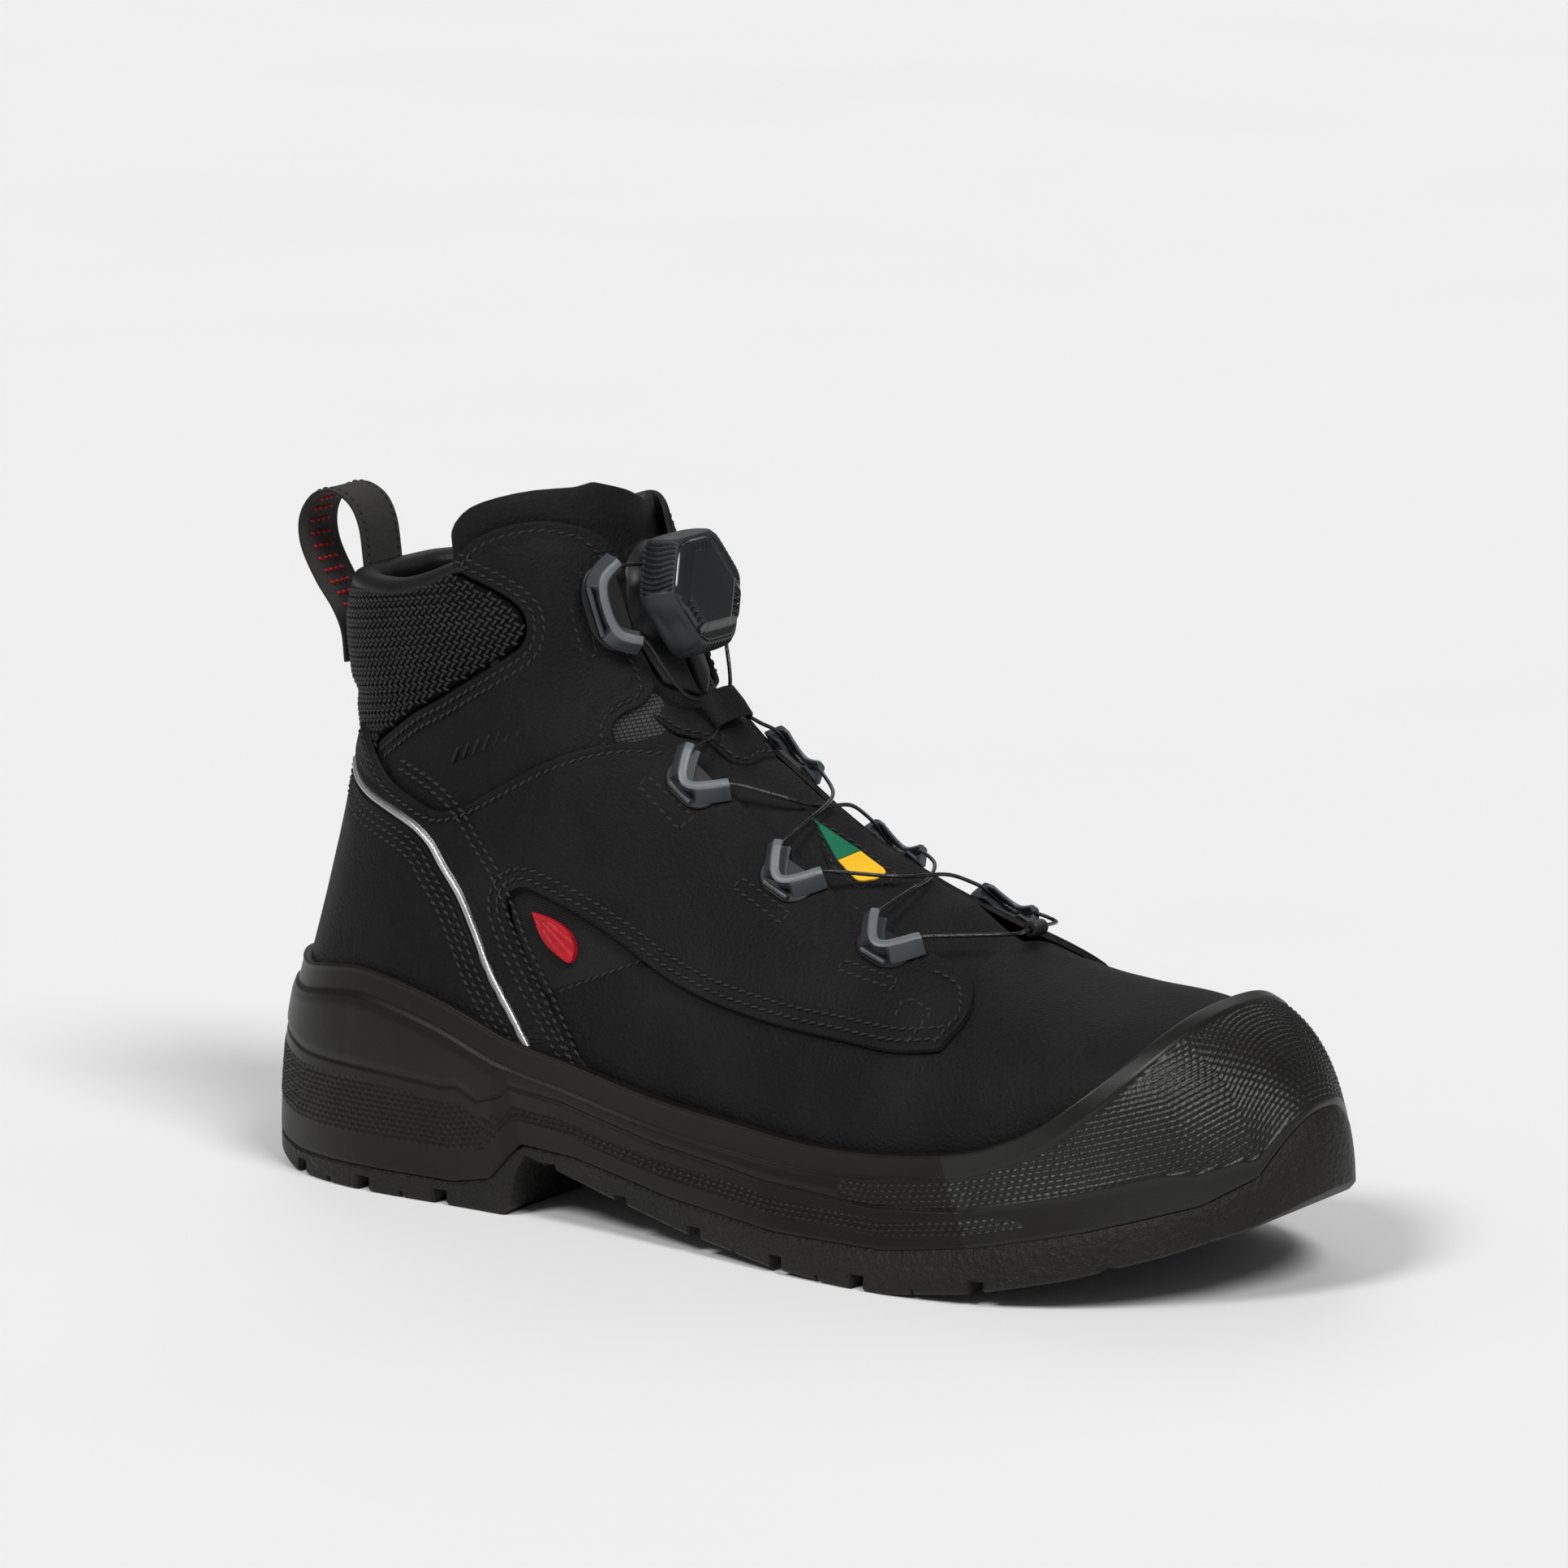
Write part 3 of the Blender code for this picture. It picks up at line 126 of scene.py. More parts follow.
# Sole: plan outline of each side from heel to toe, undersides and parting line in side view.
PLAN_LATERAL = [(-156, 0), (-155.4, -8), (-151, -19), (-140, -31), (-115, -40.5), (-75, -42.5),
                (-35, -45), (0, -50), (35, -56), (65, -58), (95, -54.5), (120, -43.5), (140, -26),
                (151.5, -9), (155.2, -1), (156, 6)]
PLAN_MEDIAL = [(-156, 0), (-155.4, 8), (-151, 19), (-140, 31), (-115, 39.5), (-75, 39.5), (-35, 38), (0, 40),
               (35, 48), (65, 56), (92, 58), (118, 52), (138, 38.5), (150, 23),
               (155, 13.5), (156, 6)]
UNDERSIDE = [(-156, 11), (-150, 5), (-138, 0), (-62, 0), (-58, 17), (-48, 14.5), (-30, 10),
             (-5, 5), (25, 1.2), (50, 0), (62, 0), (85, 3.0), (110, 8.5), (130, 14.5), (145, 20),
             (156, 27)]
PARTING = [(-175, 10), (-156, 10), (-135, 6.5), (-80, 6.5), (-68, 9), (-58, 19.5), (-40, 18.5),
           (-10, 13.5), (25, 10.5), (60, 11), (85, 14.5), (113, 20.5), (137, 27), (146, 33),
           (149.5, 42), (152, 48), (156, 50.5), (175, 50.5)]
BUMPER_X = 80.0  # where the toe bumper meets the midsole
# Slots in the tread: X at the centre, and how far they slant over 50 mm.
FORE_GROOVES = ((-38, 12), (-16, 10), (8, 8), (33, 5), (56.5, 2.5), (83, -4), (108, -12), (128, -20))
HEEL_GROOVES = ((-128, 8), (-106, 4), (-84, 0))
SIPES = ((-27, 11), (-4, 9), (20, 6.5), (45, 3.5), (70, 0), (96, -8), (-117, 6), (-95, 2))
GROOVE_W, GROOVE_DEEP = 4.2, 4.0
SIPE_W, SIPE_DEEP, SIPE_Y = 0.9, 1.8, 26
RIB_Y = 9.0  # half width of the uncut rib along the middle

# Cable guides on the lateral eyestay: centre x z, length along the eyestay, reach over the leather.
GUIDES = ((-44.4, 158, 21.0, 9.0), (-19, 115.5, 14.5, 8.5), (10.5, 94.5, 14.5, 8.5),
          (41.5, 81, 14.5, 8.5))


# ---------------------------------------------------------------- skin
def hermite(rows, t):
    """Smooth interpolation through the rows at row number t."""
    t = np.clip(np.asarray(t, float), 0, len(rows) - 1 - 1e-9)
    i = np.floor(t).astype(int)
    f = (t - i)[..., None]
    a, b = rows[i], rows[i + 1]
    before, after = rows[np.maximum(i - 1, 0)], rows[np.minimum(i + 2, len(rows) - 1)]
    m1 = np.where((i > 0)[..., None], (b - before) / 2, b - a)
    m2 = np.where((i + 2 < len(rows))[..., None], (after - a) / 2, b - a)
    return ((2 * f**3 - 3 * f**2 + 1) * a + (f**3 - 2 * f**2 + f) * m1
            + (3 * f**2 - 2 * f**3) * b + (f**3 - f**2) * m2)


def surface(t, q):
    """Points of the skin: a fraction w up each section, and the half width there."""
    s = hermite(SECTIONS, t)
    q = (np.asarray(q, float) + 1) % 2 - 1
    w = 0.5 * (1 - np.cos(np.pi * np.abs(q)))
    widest = s[..., 6]
    u = np.where(w > widest, (w - widest) / (1 - widest), (widest - w) / widest)
    full = np.where(w > widest, s[..., 8], s[..., 7])
    half = np.where(q < 0, s[..., 4], s[..., 5])
    y = s[..., 9] + half * np.sqrt(np.maximum(0, 1 - u**full)) * np.sign(q)
    return np.stack([s[..., 0] + w * (s[..., 2] - s[..., 0]), y,
                     s[..., 1] + w * (s[..., 3] - s[..., 1])], -1)


def outward(t, q, e=1e-3):
    """Directions out of the skin."""
    along = surface(np.minimum(t + e, LAST), q) - surface(np.maximum(t - e, 0), q)
    n = np.cross(surface(t, q + e) - surface(t, q - e), along)
    return n / (np.linalg.norm(n, axis=-1, keepdims=True) + 1e-12)


def skin(t, q, depth=0.0):
    """Points of the skin moved out by depth."""
    t, q, depth = np.broadcast_arrays(np.asarray(t, float), np.asarray(q, float), depth)
    return surface(t, q) + outward(t, q) * depth[..., None]


def on_skin(tq, depth=0.0):
    """Points of a (t, q) line on the skin, moved out by depth."""
    return skin(*np.asarray(tq, float).T, depth)


def skin_line(tq, depth=0.0):
    """The same with the outward directions, as stitch_marks takes them."""
    return on_skin(tq, depth), outward(*np.asarray(tq, float).T)


FAN_T = np.linspace(0, LAST, 40 * LAST + 1)
FAN = hermite(SECTIONS, FAN_T)


def locate(x, z):
    """Side-view point to (t, |q|)."""
    dx, dz = FAN[:, 2] - FAN[:, 0], FAN[:, 3] - FAN[:, 1]
    side = dx * (z - FAN[:, 1]) - dz * (x - FAN[:, 0])
    found = []
    for i in np.where(np.sign(side[:-1]) != np.sign(side[1:]))[0]:
        f = side[i] / (side[i] - side[i + 1])
        t = FAN_T[i] + f * (FAN_T[i + 1] - FAN_T[i])
        s = hermite(SECTIONS, t)
        ex, ez = s[2] - s[0], s[3] - s[1]
        w = ((x - s[0]) * ex + (z - s[1]) * ez) / (ex * ex + ez * ez)
        found.append((abs(w - .5), t, w))
    _, t, w = min(found)
    return float(t), math.acos(1 - 2 * min(max(w, 0.0), 1.0)) / math.pi


def smooth(points, per=4):
    """A smooth line through the points, each gap cut in per pieces."""
    rows = np.array(points, float)
    return hermite(rows, np.linspace(0, len(rows) - 1, per * (len(rows) - 1) + 1))


def lateral(points, per=4):
    """Side-view line to (t, q) on the lateral side."""
    return [(t, -q) for t, q in (locate(x, z) for x, z in smooth(points, per))]


def mirrored(line):
    """A lateral line or loop mirrored to the medial side round the back, run the other way."""
    return [(t, -q) for t, q in line[::-1]]


def over_crown(line):
    """A lateral line mirrored over the crown to the medial side, run the other way."""
    return [(t, -2 - q) for t, q in line[::-1]]


def beside(points, gap):
    """A side-view line moved sideways, to the left of its direction for a positive gap."""
    line = smooth(points, 2)
    turn = np.gradient(line, axis=0)
    turn /= np.linalg.norm(turn, axis=1)[:, None]
    return np.column_stack([line[:, 0] - turn[:, 1] * gap, line[:, 1] + turn[:, 0] * gap])


def run_of(line):
    """Distance along a line at each of its points."""
    return np.concatenate([[0], np.cumsum(np.linalg.norm(np.diff(line, axis=0), axis=1))])


def sample(values, run, at):
    """Rows of values, given at the distances run, at the distances at."""
    return np.stack([np.interp(at, run, c) for c in np.asarray(values).T], -1)


def at_fraction(line, fraction):
    """Points at fractions of the length of a line."""
    line = np.array(line, float)
    run = run_of(line)
    return sample(line, run, np.asarray(fraction) * run[-1])


def full_turn(count):
    """Even angles round a circle."""
    return np.linspace(0, TURN, count, endpoint=False)


DIAL_N = np.array((math.cos(DIAL_TILT), 0, math.sin(DIAL_TILT)))
DIAL_UP = np.array((-math.sin(DIAL_TILT), 0, math.cos(DIAL_TILT)))
DIAL_SIDE = np.array((0.0, -1.0, 0.0))


def guide_frame(x, z, side):
    """Centre and directions of a cable guide: along the eyestay, towards the crown, outward."""
    t, q = locate(x, z)
    q = -q if side == "lateral" else q
    centre = skin(t, q)
    out = outward(t, q)
    down = skin(t + .2, q) - centre
    down -= out * (down @ out)
    down /= np.linalg.norm(down)
    inward = np.cross(out, down)
    if inward @ (skin(t, q - .02 if q < 0 else q + .02) - centre) < 0:
        inward = -inward
    return centre, down, inward, out


# ---------------------------------------------------------------- materials
class Look:
    """Builds one node material; add() makes a node and links or sets its inputs."""

    def __init__(self, name):
        self.material = bpy.data.materials.new(name)
        self.material.use_nodes = True
        self.tree = self.material.node_tree
        self.shader = self.tree.nodes["Principled BSDF"]

    def add(self, kind, inputs=None, **settings):
        node = self.tree.nodes.new("ShaderNode" + kind)
        for key, value in settings.items():
            setattr(node, key, value)
        self.fill(node, inputs or {})
        return node

    def fill(self, node, inputs):
        for key, value in inputs.items():
            if isinstance(value, bpy.types.NodeSocket):
                self.tree.links.new(value, node.inputs[key])
            else:
                node.inputs[key].default_value = value

    def place(self, uv=False):
        return self.add("TexCoord").outputs["UV" if uv else "Object"]

    def noise(self, at, scale, detail=4.0, rough=.55):
        return self.add("TexNoise", {"Vector": at, "Scale": scale, "Detail": detail,
                                     "Roughness": rough}).outputs["Fac"]

    def ramp(self, value, *stops):
        node = self.add("ValToRGB", {"Fac": value})
        ends = node.color_ramp.elements
        while len(ends) < len(stops):
            ends.new(.5)
        for end, (place, colour) in zip(ends, stops):
            end.position = place
            end.color = colour if len(colour) == 4 else (*colour, 1)
        return node.outputs["Color"]

    def spread(self, value, low, high):
        return self.add("MapRange", {"Value": value, "To Min": low, "To Max": high}).outputs["Result"]

    def maths(self, operation, a, b=0.0):
        return self.add("Math", {0: a, 1: b}, operation=operation).outputs[0]

    def bump(self, height, strength, distance):
        return self.add("Bump", {"Height": height, "Strength": strength,
                                 "Distance": distance}).outputs["Normal"]

    def finish(self, **inputs):
        self.fill(self.shader, {key.replace("_", " "): value for key, value in inputs.items()})
        return self.material


def grey(value, warm=0.0):
    """A grey in linear light, reddish for a positive warm and bluish for a negative one."""
    return (value * (1 + warm), value, value * (1 - warm))


def mottled(name, dark, light, rough, grain, bump, coarse=60.0, specular=.3, sheen=0.0, metal=0.0,
            distance=.0003):
    """Colour and roughness drift with coarse noise; the surface has a fine grain."""
    look = Look(name)
    at = look.place()
    drift = look.noise(at, coarse, 5)
    fine = look.noise(at, grain, 3, .6)
    colour = look.ramp(look.maths("ADD", look.maths("MULTIPLY", drift, .7),
                                  look.maths("MULTIPLY", fine, .3)), (.3, dark), (.7, light))
    normal = look.bump(fine, bump, distance)
    return look.finish(Base_Color=colour, Roughness=look.spread(drift, rough - .08, rough + .08),
                       Normal=normal, Specular_IOR_Level=specular, Sheen_Weight=sheen,
                       Sheen_Roughness=.5, Metallic=metal)


def pebbled(name, dark, light, rough, cell, bump, specular=.3):
    """Moulded rubber with small raised pebbles over a slow drift of tone."""
    look = Look(name)
    at = look.place()
    drift = look.noise(at, 40, 4)
    cells = look.add("TexVoronoi", {"Vector": at, "Scale": cell}, feature="SMOOTH_F1")
    fine = look.noise(at, cell * 2.5, 3)
    height = look.maths("SUBTRACT", fine, cells.outputs["Distance"])
    return look.finish(Base_Color=look.ramp(drift, (.3, dark), (.7, light)),
                       Roughness=look.spread(fine, rough - .1, rough + .1),
                       Normal=look.bump(height, bump, .0005), Specular_IOR_Level=specular)


def woven(name, dark, light, across, along, bump=.9, specular=.15):
    """Cloth on the UV grid in millimetres: rows of raised cells, every other row shifted."""
    look = Look(name)
    uv = look.add("Mapping", {"Vector": look.place(True), "Scale": (1000, 1000, 1000)})
    bricks = look.add("TexBrick", {"Vector": uv.outputs[0], "Color1": (1, 1, 1, 1),
                                   "Color2": (.75, .75, .75, 1), "Mortar": (0, 0, 0, 1), "Scale": 1.0,
                                   "Mortar Size": min(across, along) * .22, "Mortar Smooth": 1.0,
                                   "Brick Width": across, "Row Height": along}, offset=.5)
    fine = look.noise(uv.outputs[0], 3.0, 3)
    level = look.add("RGBToBW", {"Color": bricks.outputs["Color"]}).outputs[0]
    height = look.maths("ADD", level, look.maths("MULTIPLY", fine, .35))
    drift = look.noise(look.place(), 50, 4)
    shade = look.maths("MULTIPLY", level, look.spread(drift, .7, 1.1))
    return look.finish(Base_Color=look.ramp(shade, (.05, dark), (.95, light)), Roughness=.8,
                       Normal=look.bump(height, bump, .0004), Specular_IOR_Level=specular,
                       Sheen_Weight=.05)


def thread_look(name, dark, light):
    """Twisted yarn."""
    look = Look(name)
    at = look.place()
    twist = look.add("TexWave", {"Vector": at, "Scale": 900.0, "Distortion": 4.0, "Detail": 2.0},
                     bands_direction="DIAGONAL")
    fibre = look.noise(at, 2500, 2)
    height = look.maths("ADD", twist.outputs["Fac"], look.maths("MULTIPLY", fibre, .4))
    return look.finish(Base_Color=look.ramp(height, (.2, dark), (1.0, light)), Roughness=.6,
                       Normal=look.bump(height, .7, .0002), Specular_IOR_Level=.5)


# After the two colours, mottled takes roughness, scale of the grain, bump, scale of the drift,
# specular level, sheen and metal; pebbled takes roughness, scale of the cells, bump and specular
# level; woven takes the cell's two sizes in millimetres, bump and specular level.
LOOKS = {
    "nubuck": mottled("nubuck", grey(.003), grey(.0135), .56, 1100, 1.6, 30, .11),
    "leather_edge": mottled("leather_edge", grey(.008), grey(.02), .8, 1800, .5, 90, .2),
    "smooth_leather": mottled("smooth_leather", grey(.004), grey(.009), .5, 1100, .4, 70, .25),
    "lining": mottled("lining", grey(.014), grey(.028), .9, 2200, .9, 120, .15, .15),
    # Near black: the cloth under the collar's yarns, painted shade in the gaps between them.
    "mesh": mottled("mesh", grey(.0015), grey(.004), .9, 2200, .6, 120, .1),
    "knit": mottled("knit", grey(.006), grey(.022), .5, 3200, .8, 160, .35),
    "gusset": woven("gusset", grey(.002), grey(.06), 1.5, 1.1, bump=1.0, specular=.4),
    "badge_cloth": woven("badge_cloth", grey(.005), grey(.018), 1.0, .7),
    "rubber": pebbled("rubber", grey(.005, .14), grey(.009, .14), .46, 620, 1.0, .27),
    "foam": mottled("foam", grey(.005, .16), grey(.0085, .16), .4, 2600, .25, 30, .22),
    "bumper": mottled("bumper", grey(.0045, .1), grey(.008, .1), .33, 2600, .2, 30, .38),
    "steel": mottled("steel", grey(.42), grey(.6), .34, 1200, .15, 40, .5, 0, 1.0),
    "board": mottled("board", (.22, .17, .11), (.36, .3, .22), .85, 1200, .6, 80, .2),
    "nylon": mottled("nylon", grey(.045, -.12), grey(.06, -.12), .36, 3000, .12, 90, .5),
    # Paler nylon for the tops of the guides' ridges: a painted highlight.
    "nylon_painted_highlight": mottled("nylon_painted_highlight", grey(.12, -.08), grey(.16, -.08), .4, 3000, .12, 90, .5),
    "nylon_dark": mottled("nylon_dark", grey(.004), grey(.008), .42, 3000, .15, 90, .35),
    "knob": mottled("knob", grey(.016, -.08), grey(.026, -.08), .46, 2400, .2, 80, .45),
    "gloss": mottled("gloss", grey(.008, -.1), grey(.012, -.1), .2, 3000, .03, 60, .6),
    "cable": mottled("cable", grey(.003), grey(.007), .22, 2600, .3, 300, .5),
    "reflective": mottled("reflective", grey(.3), grey(.5), .22, 2500, .25, 90, .8, 0, .6),
    "webbing": woven("webbing", grey(.014, .04), grey(.05, .04), 1.2, .6, bump=.7, specular=.2),
    "badge_red": mottled("badge_red", (.30, .003, .009), (.52, .008, .022), .45, 1800, .5, 220, .25),
    "tag_yellow": mottled("tag_yellow", (.82, .44, .01), (.95, .58, .02), .5, 2200, .2, 90, .3),
    "tag_green": mottled("tag_green", (.0, .12, .055), (.0, .17, .08), .5, 2200, .2, 90, .3),
    "thread": thread_look("thread", grey(.0025), grey(.02)),
}


# ---------------------------------------------------------------- meshes
def piece(name, points, faces, look, slot, body="boot", stands_for=(), uv=None, sharp=40, extra=()):
    """One mesh in the frame; uv is a point in millimetres per vertex."""
    data = bpy.data.meshes.new(name)
    data.from_pydata((np.asarray(points) * MM).tolist(), [], [tuple(map(int, f)) for f in faces])
    data.materials.append(LOOKS[look])
    for more in extra:
        data.materials.append(LOOKS[more])
    if uv is not None:
        layer = data.uv_layers.new(name="UVMap")
        corner = np.empty(len(data.loops), np.int32)
        data.loops.foreach_get("vertex_index", corner)
        layer.data.foreach_set("uv", (np.asarray(uv)[corner] * MM).astype(np.float32).ravel())
    data.validate()
    data.shade_smooth()
    if sharp:
        data.set_sharp_from_angle(angle=math.radians(sharp))
    obj = bpy.data.objects.new(name, data)
    bpy.context.scene.collection.objects.link(obj)
    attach(obj, body)
    if stands_for:
        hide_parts(*stands_for)
    return obj


def unit(v):
    v = np.asarray(v, float)
    return v / (np.linalg.norm(v, axis=-1, keepdims=True) + 1e-12)


def waves(p, size, seed, count=7):
    """Smooth value about -1..1 that wanders over lengths of about size."""
    rng = np.random.default_rng(seed)
    ways = unit(rng.normal(size=(count, 3))) / size * rng.uniform(.6, 1.6, (count, 1)) * math.pi
    return np.sin(np.asarray(p) @ ways.T + rng.uniform(0, 6.28, count)).sum(-1) / count**.5


def grid_faces(rows, columns, ring=False):
    """Four-sided faces between rows of points, closed round each row if ring."""
    r, c = np.meshgrid(np.arange(rows - 1), np.arange(columns if ring else columns - 1), indexing="ij")
    r, c = r.ravel(), c.ravel()
    d = (c + 1) % columns
    return np.stack([r * columns + c, r * columns + d, (r + 1) * columns + d, (r + 1) * columns + c],
                    -1)


def join(parts):
    """Points and faces of several (points, faces) parts as one."""
    points, faces, n = [], [], 0
    for p, f in parts:
        points.append(np.asarray(p, float).reshape(-1, 3))
        faces += [tuple(int(i) + n for i in face) for face in f]
        n += len(points[-1])
    return np.concatenate(points), faces


def sweep(path, section, frames):
    """A closed section (u, v), or one per point, carried along the path, as (points, faces)."""
    section = np.asarray(section, float)
    sections = section if section.ndim == 3 else np.broadcast_to(section, (len(path), len(section), 2))
    m = sections.shape[1]
    fu, fv = (np.array([f[k] for f in frames], float) for k in (0, 1))
    points = (np.asarray(path, float)[:, None] + sections[..., :1] * fu[:, None]
              + sections[..., 1:] * fv[:, None]).reshape(-1, 3)
    n = len(path)
    faces = [tuple(f) for f in grid_faces(n, m, True)]
    return points, faces + [tuple(range(m))[::-1], tuple((n - 1) * m + j for j in range(m))]


def round_section(radius, count):
    a = full_turn(count)
    return np.column_stack([np.cos(a) * radius, np.sin(a) * radius])


def carried(path, ups):
    """Frames (side, up) along a path with the ups it should lean to."""
    ahead = unit(np.gradient(np.asarray(path, float), axis=0))
    side = unit(np.cross(ahead, np.asarray(ups, float)))
    return list(zip(side, unit(np.cross(side, ahead))))


# ---------------------------------------------------------------- slices of the skin
def inside(p, loop):
    """Which points lie inside a closed loop in the plane."""
    a, b = loop, np.roll(loop, -1, 0)
    x, y = p[:, :1], p[:, 1:]
    cross = ((a[:, 1] > y) != (b[:, 1] > y)) & (
        x < (b[:, 0] - a[:, 0]) * (y - a[:, 1]) / (b[:, 1] - a[:, 1] + 1e-12) + a[:, 0])
    return cross.sum(1) % 2 == 1


def to_skin(tq, move):
    """The (t, q) steps that match moves along the skin in space."""
    t, q = tq.T
    e = 1e-3
    st = (surface(t + e, q) - surface(t - e, q)) / (2 * e)
    sq = (surface(t, q + e) - surface(t, q - e)) / (2 * e)
    a, b, c = (st * st).sum(1), (st * sq).sum(1), (sq * sq).sum(1)
    mt, mq = (st * move).sum(1), (sq * move).sum(1)
    det = a * c - b * b + 1e-9
    return np.column_stack([(mt * c - mq * b) / det, (mq * a - mt * b) / det])


def even_loop(loop, step):
    """A closed (t, q) loop with points at even spacing on the skin."""
    loop = np.array(list(loop) + [loop[0]], float)
    f = np.arange(0, len(loop) - 1, .125)
    i = f.astype(int)
    dense = loop[i] + (loop[i + 1] - loop[i]) * (f - i)[:, None]
    dense = np.vstack([dense, loop[-1:]])
    run = run_of(surface(*dense.T))
    return sample(dense, run, np.linspace(0, run[-1], max(12, round(run[-1] / step)), endpoint=False))


def distance(points, border):
    """Distance from each point to the nearest point of the border."""
    return np.concatenate([np.linalg.norm(points[k:k + CHUNK, None] - border[None], axis=2).min(1)
                           for k in range(0, len(points), CHUNK)])


def rim_of(loop, step):
    """A closed loop at even spacing: its (t, q), its points, and the directions that lead inwards."""
    rim = even_loop(loop, step)
    at = surface(*rim.T)
    inward = unit(np.cross(outward(*rim.T), unit(np.roll(at, -1, 0) - np.roll(at, 1, 0))))
    x, y = rim.T
    turn = (x * np.roll(y, -1) - np.roll(x, -1) * y).sum()
    normal = np.column_stack([-(np.roll(y, -1) - np.roll(y, 1)), np.roll(x, -1) - np.roll(x, 1)])
    if np.median((to_skin(rim, inward) * normal).sum(1)) * turn < 0:
        inward = -inward
    return rim, at, inward


# Distances from a panel's edge at which its mesh has rows of points.
RINGS = (.12, .3, .6, 1.1, 1.8, 2.6, 3.4, 4.2, 5.2)


def cloth_map(tq):
    """UV in millimetres: length round the section, and along the skin."""
    t, q = tq.T
    steps = np.linspace(0, 1, 9)
    line = surface(t[:, None] + 0 * steps, q[:, None] * steps)
    around = np.linalg.norm(np.diff(line, axis=1), axis=2).sum(1) * np.sign(q)
    ts = np.linspace(0, LAST, 96)
    run = run_of(surface(ts, np.full(96, -.45)))
    return np.column_stack([around, np.interp(t, ts, run)])


def slab(name, loop, band, look, slot, puff=None, stands_for=None, rings=RINGS, step=1.3, cell=2.2,
         edge=.7, side_look=None):
    """A panel: the skin inside a loop, between two depths, with a rounded outer edge.

    band depths are numbers or functions of (t, q); puff(d, points, tq) adds height to the face,
    d being the distance from the panel's edge. rings, step and cell set the mesh: where its first
    rows lie, the spacing along the edge and inside. edge is the radius of the rounding. The panel
    stands for the CAD node of its own name unless stands_for says otherwise.
    """
    rim, at, inward = rim_of(loop, step)
    x, y = rim.T
    candidates = [rim + to_skin(rim, inward * r) for r in rings]
    spacing = np.array((cell / np.median(np.linalg.norm(surface(x + .01, y) - at, axis=1) / .01),
                        cell / np.median(np.linalg.norm(surface(x, y + .01) - at, axis=1) / .01)))
    low, high = rim.min(0), rim.max(0)
    ts = np.arange(low[0], high[0], spacing[0])
    qs = np.arange(low[1], high[1], spacing[1])
    grid = np.stack(np.meshgrid(ts, qs, indexing="ij"), -1)
    grid[::2, :, 1] += spacing[1] / 2
    count = [len(c) for c in candidates]
    every = np.concatenate(candidates + [grid.reshape(-1, 2)])
    floor = np.concatenate([np.full(n, r * .9) for n, r in zip(count, rings)]
                           + [np.full(grid.shape[0] * grid.shape[1], rings[-1] + cell * .45)])
    keep = inside(every, rim)
    every, floor = every[keep], floor[keep]
    border = surface(*even_loop(loop, step / 2).T)
    every = every[distance(surface(*every.T), border) > floor]
    stretch = 1 / spacing
    points = [Vector(p) for p in rim * stretch] + [Vector(p) for p in every * stretch]
    flat, _, faces, *_ = geometry.delaunay_2d_cdt(points, [], [list(range(len(rim)))], 1, 1e-6)
    tq = np.array([tuple(p) for p in flat]) / stretch
    where = surface(*tq.T)
    used = {(f[k], f[(k + 1) % 3]) for f in faces for k in range(3)}
    border_edges = sorted((a, b) for a, b in used if (b, a) not in used)
    gap = distance(where, border)
    gap[[a for a, b in border_edges]] = 0
    outer, inner = (d(*tq.T) if callable(d) else np.full(len(tq), float(d)) for d in band)
    face = outer - rounding(gap, edge)
    if puff is not None:
        face = face + puff(gap, where, tq)
    top, bottom = skin(*tq.T, face), skin(*tq.T, inner)
    n = len(tq)
    mesh = [tuple(f) for f in faces] + [tuple(i + n for i in reversed(f)) for f in faces]
    mesh += [(b, a, a + n, b + n) for a, b in border_edges]
    uv = cloth_map(tq)
    obj = piece(name, np.concatenate([top, bottom]), mesh, look, slot, "boot",
                (name,) if stands_for is None else stands_for, np.concatenate([uv, uv]),
                extra=(side_look,) if side_look else ())
    if side_look:
        sides = np.zeros(len(obj.data.polygons), np.int32)
        sides[2 * len(faces):] = 1
        if len(sides) == len(mesh):
            obj.data.polygons.foreach_set("material_index", sides)
    flip_outward(obj, top, bottom, faces)
    return obj


def rounding(gap, edge):
    """How far a face falls off at a distance gap from its rounded edge."""
    near = np.clip(gap / edge, 0, 1)
    return edge * .8 * (1 - np.sqrt(np.maximum(0, 1 - (1 - near)**2)))


def leather(name, loop, band, puff=None, **more):
    """A nubuck panel with a paler cut edge."""
    return slab(name, loop, band, "nubuck", "nubuck", puff, side_look="leather_edge", **more)


def on_both_sides(make, name, loop, *rest, **more):
    """Makes a panel on the lateral side and its mirror image on the medial side."""
    for side, line in (("lateral", loop), ("medial", mirrored(loop))):
        make(f"{name}_{side}", line, *rest, **more)


def flip_outward(obj, top, bottom, faces):
    """Turns every face round if the outer face of a panel looks inwards."""
    f = np.array(faces[: min(len(faces), 200)])
    a, b, c = top[f[:, 0]], top[f[:, 1]], top[f[:, 2]]
    looks = (np.cross(b - a, c - a) * (top[f[:, 0]] - bottom[f[:, 0]])).sum(1)
    if np.median(looks) < 0:
        obj.data.flip_normals()


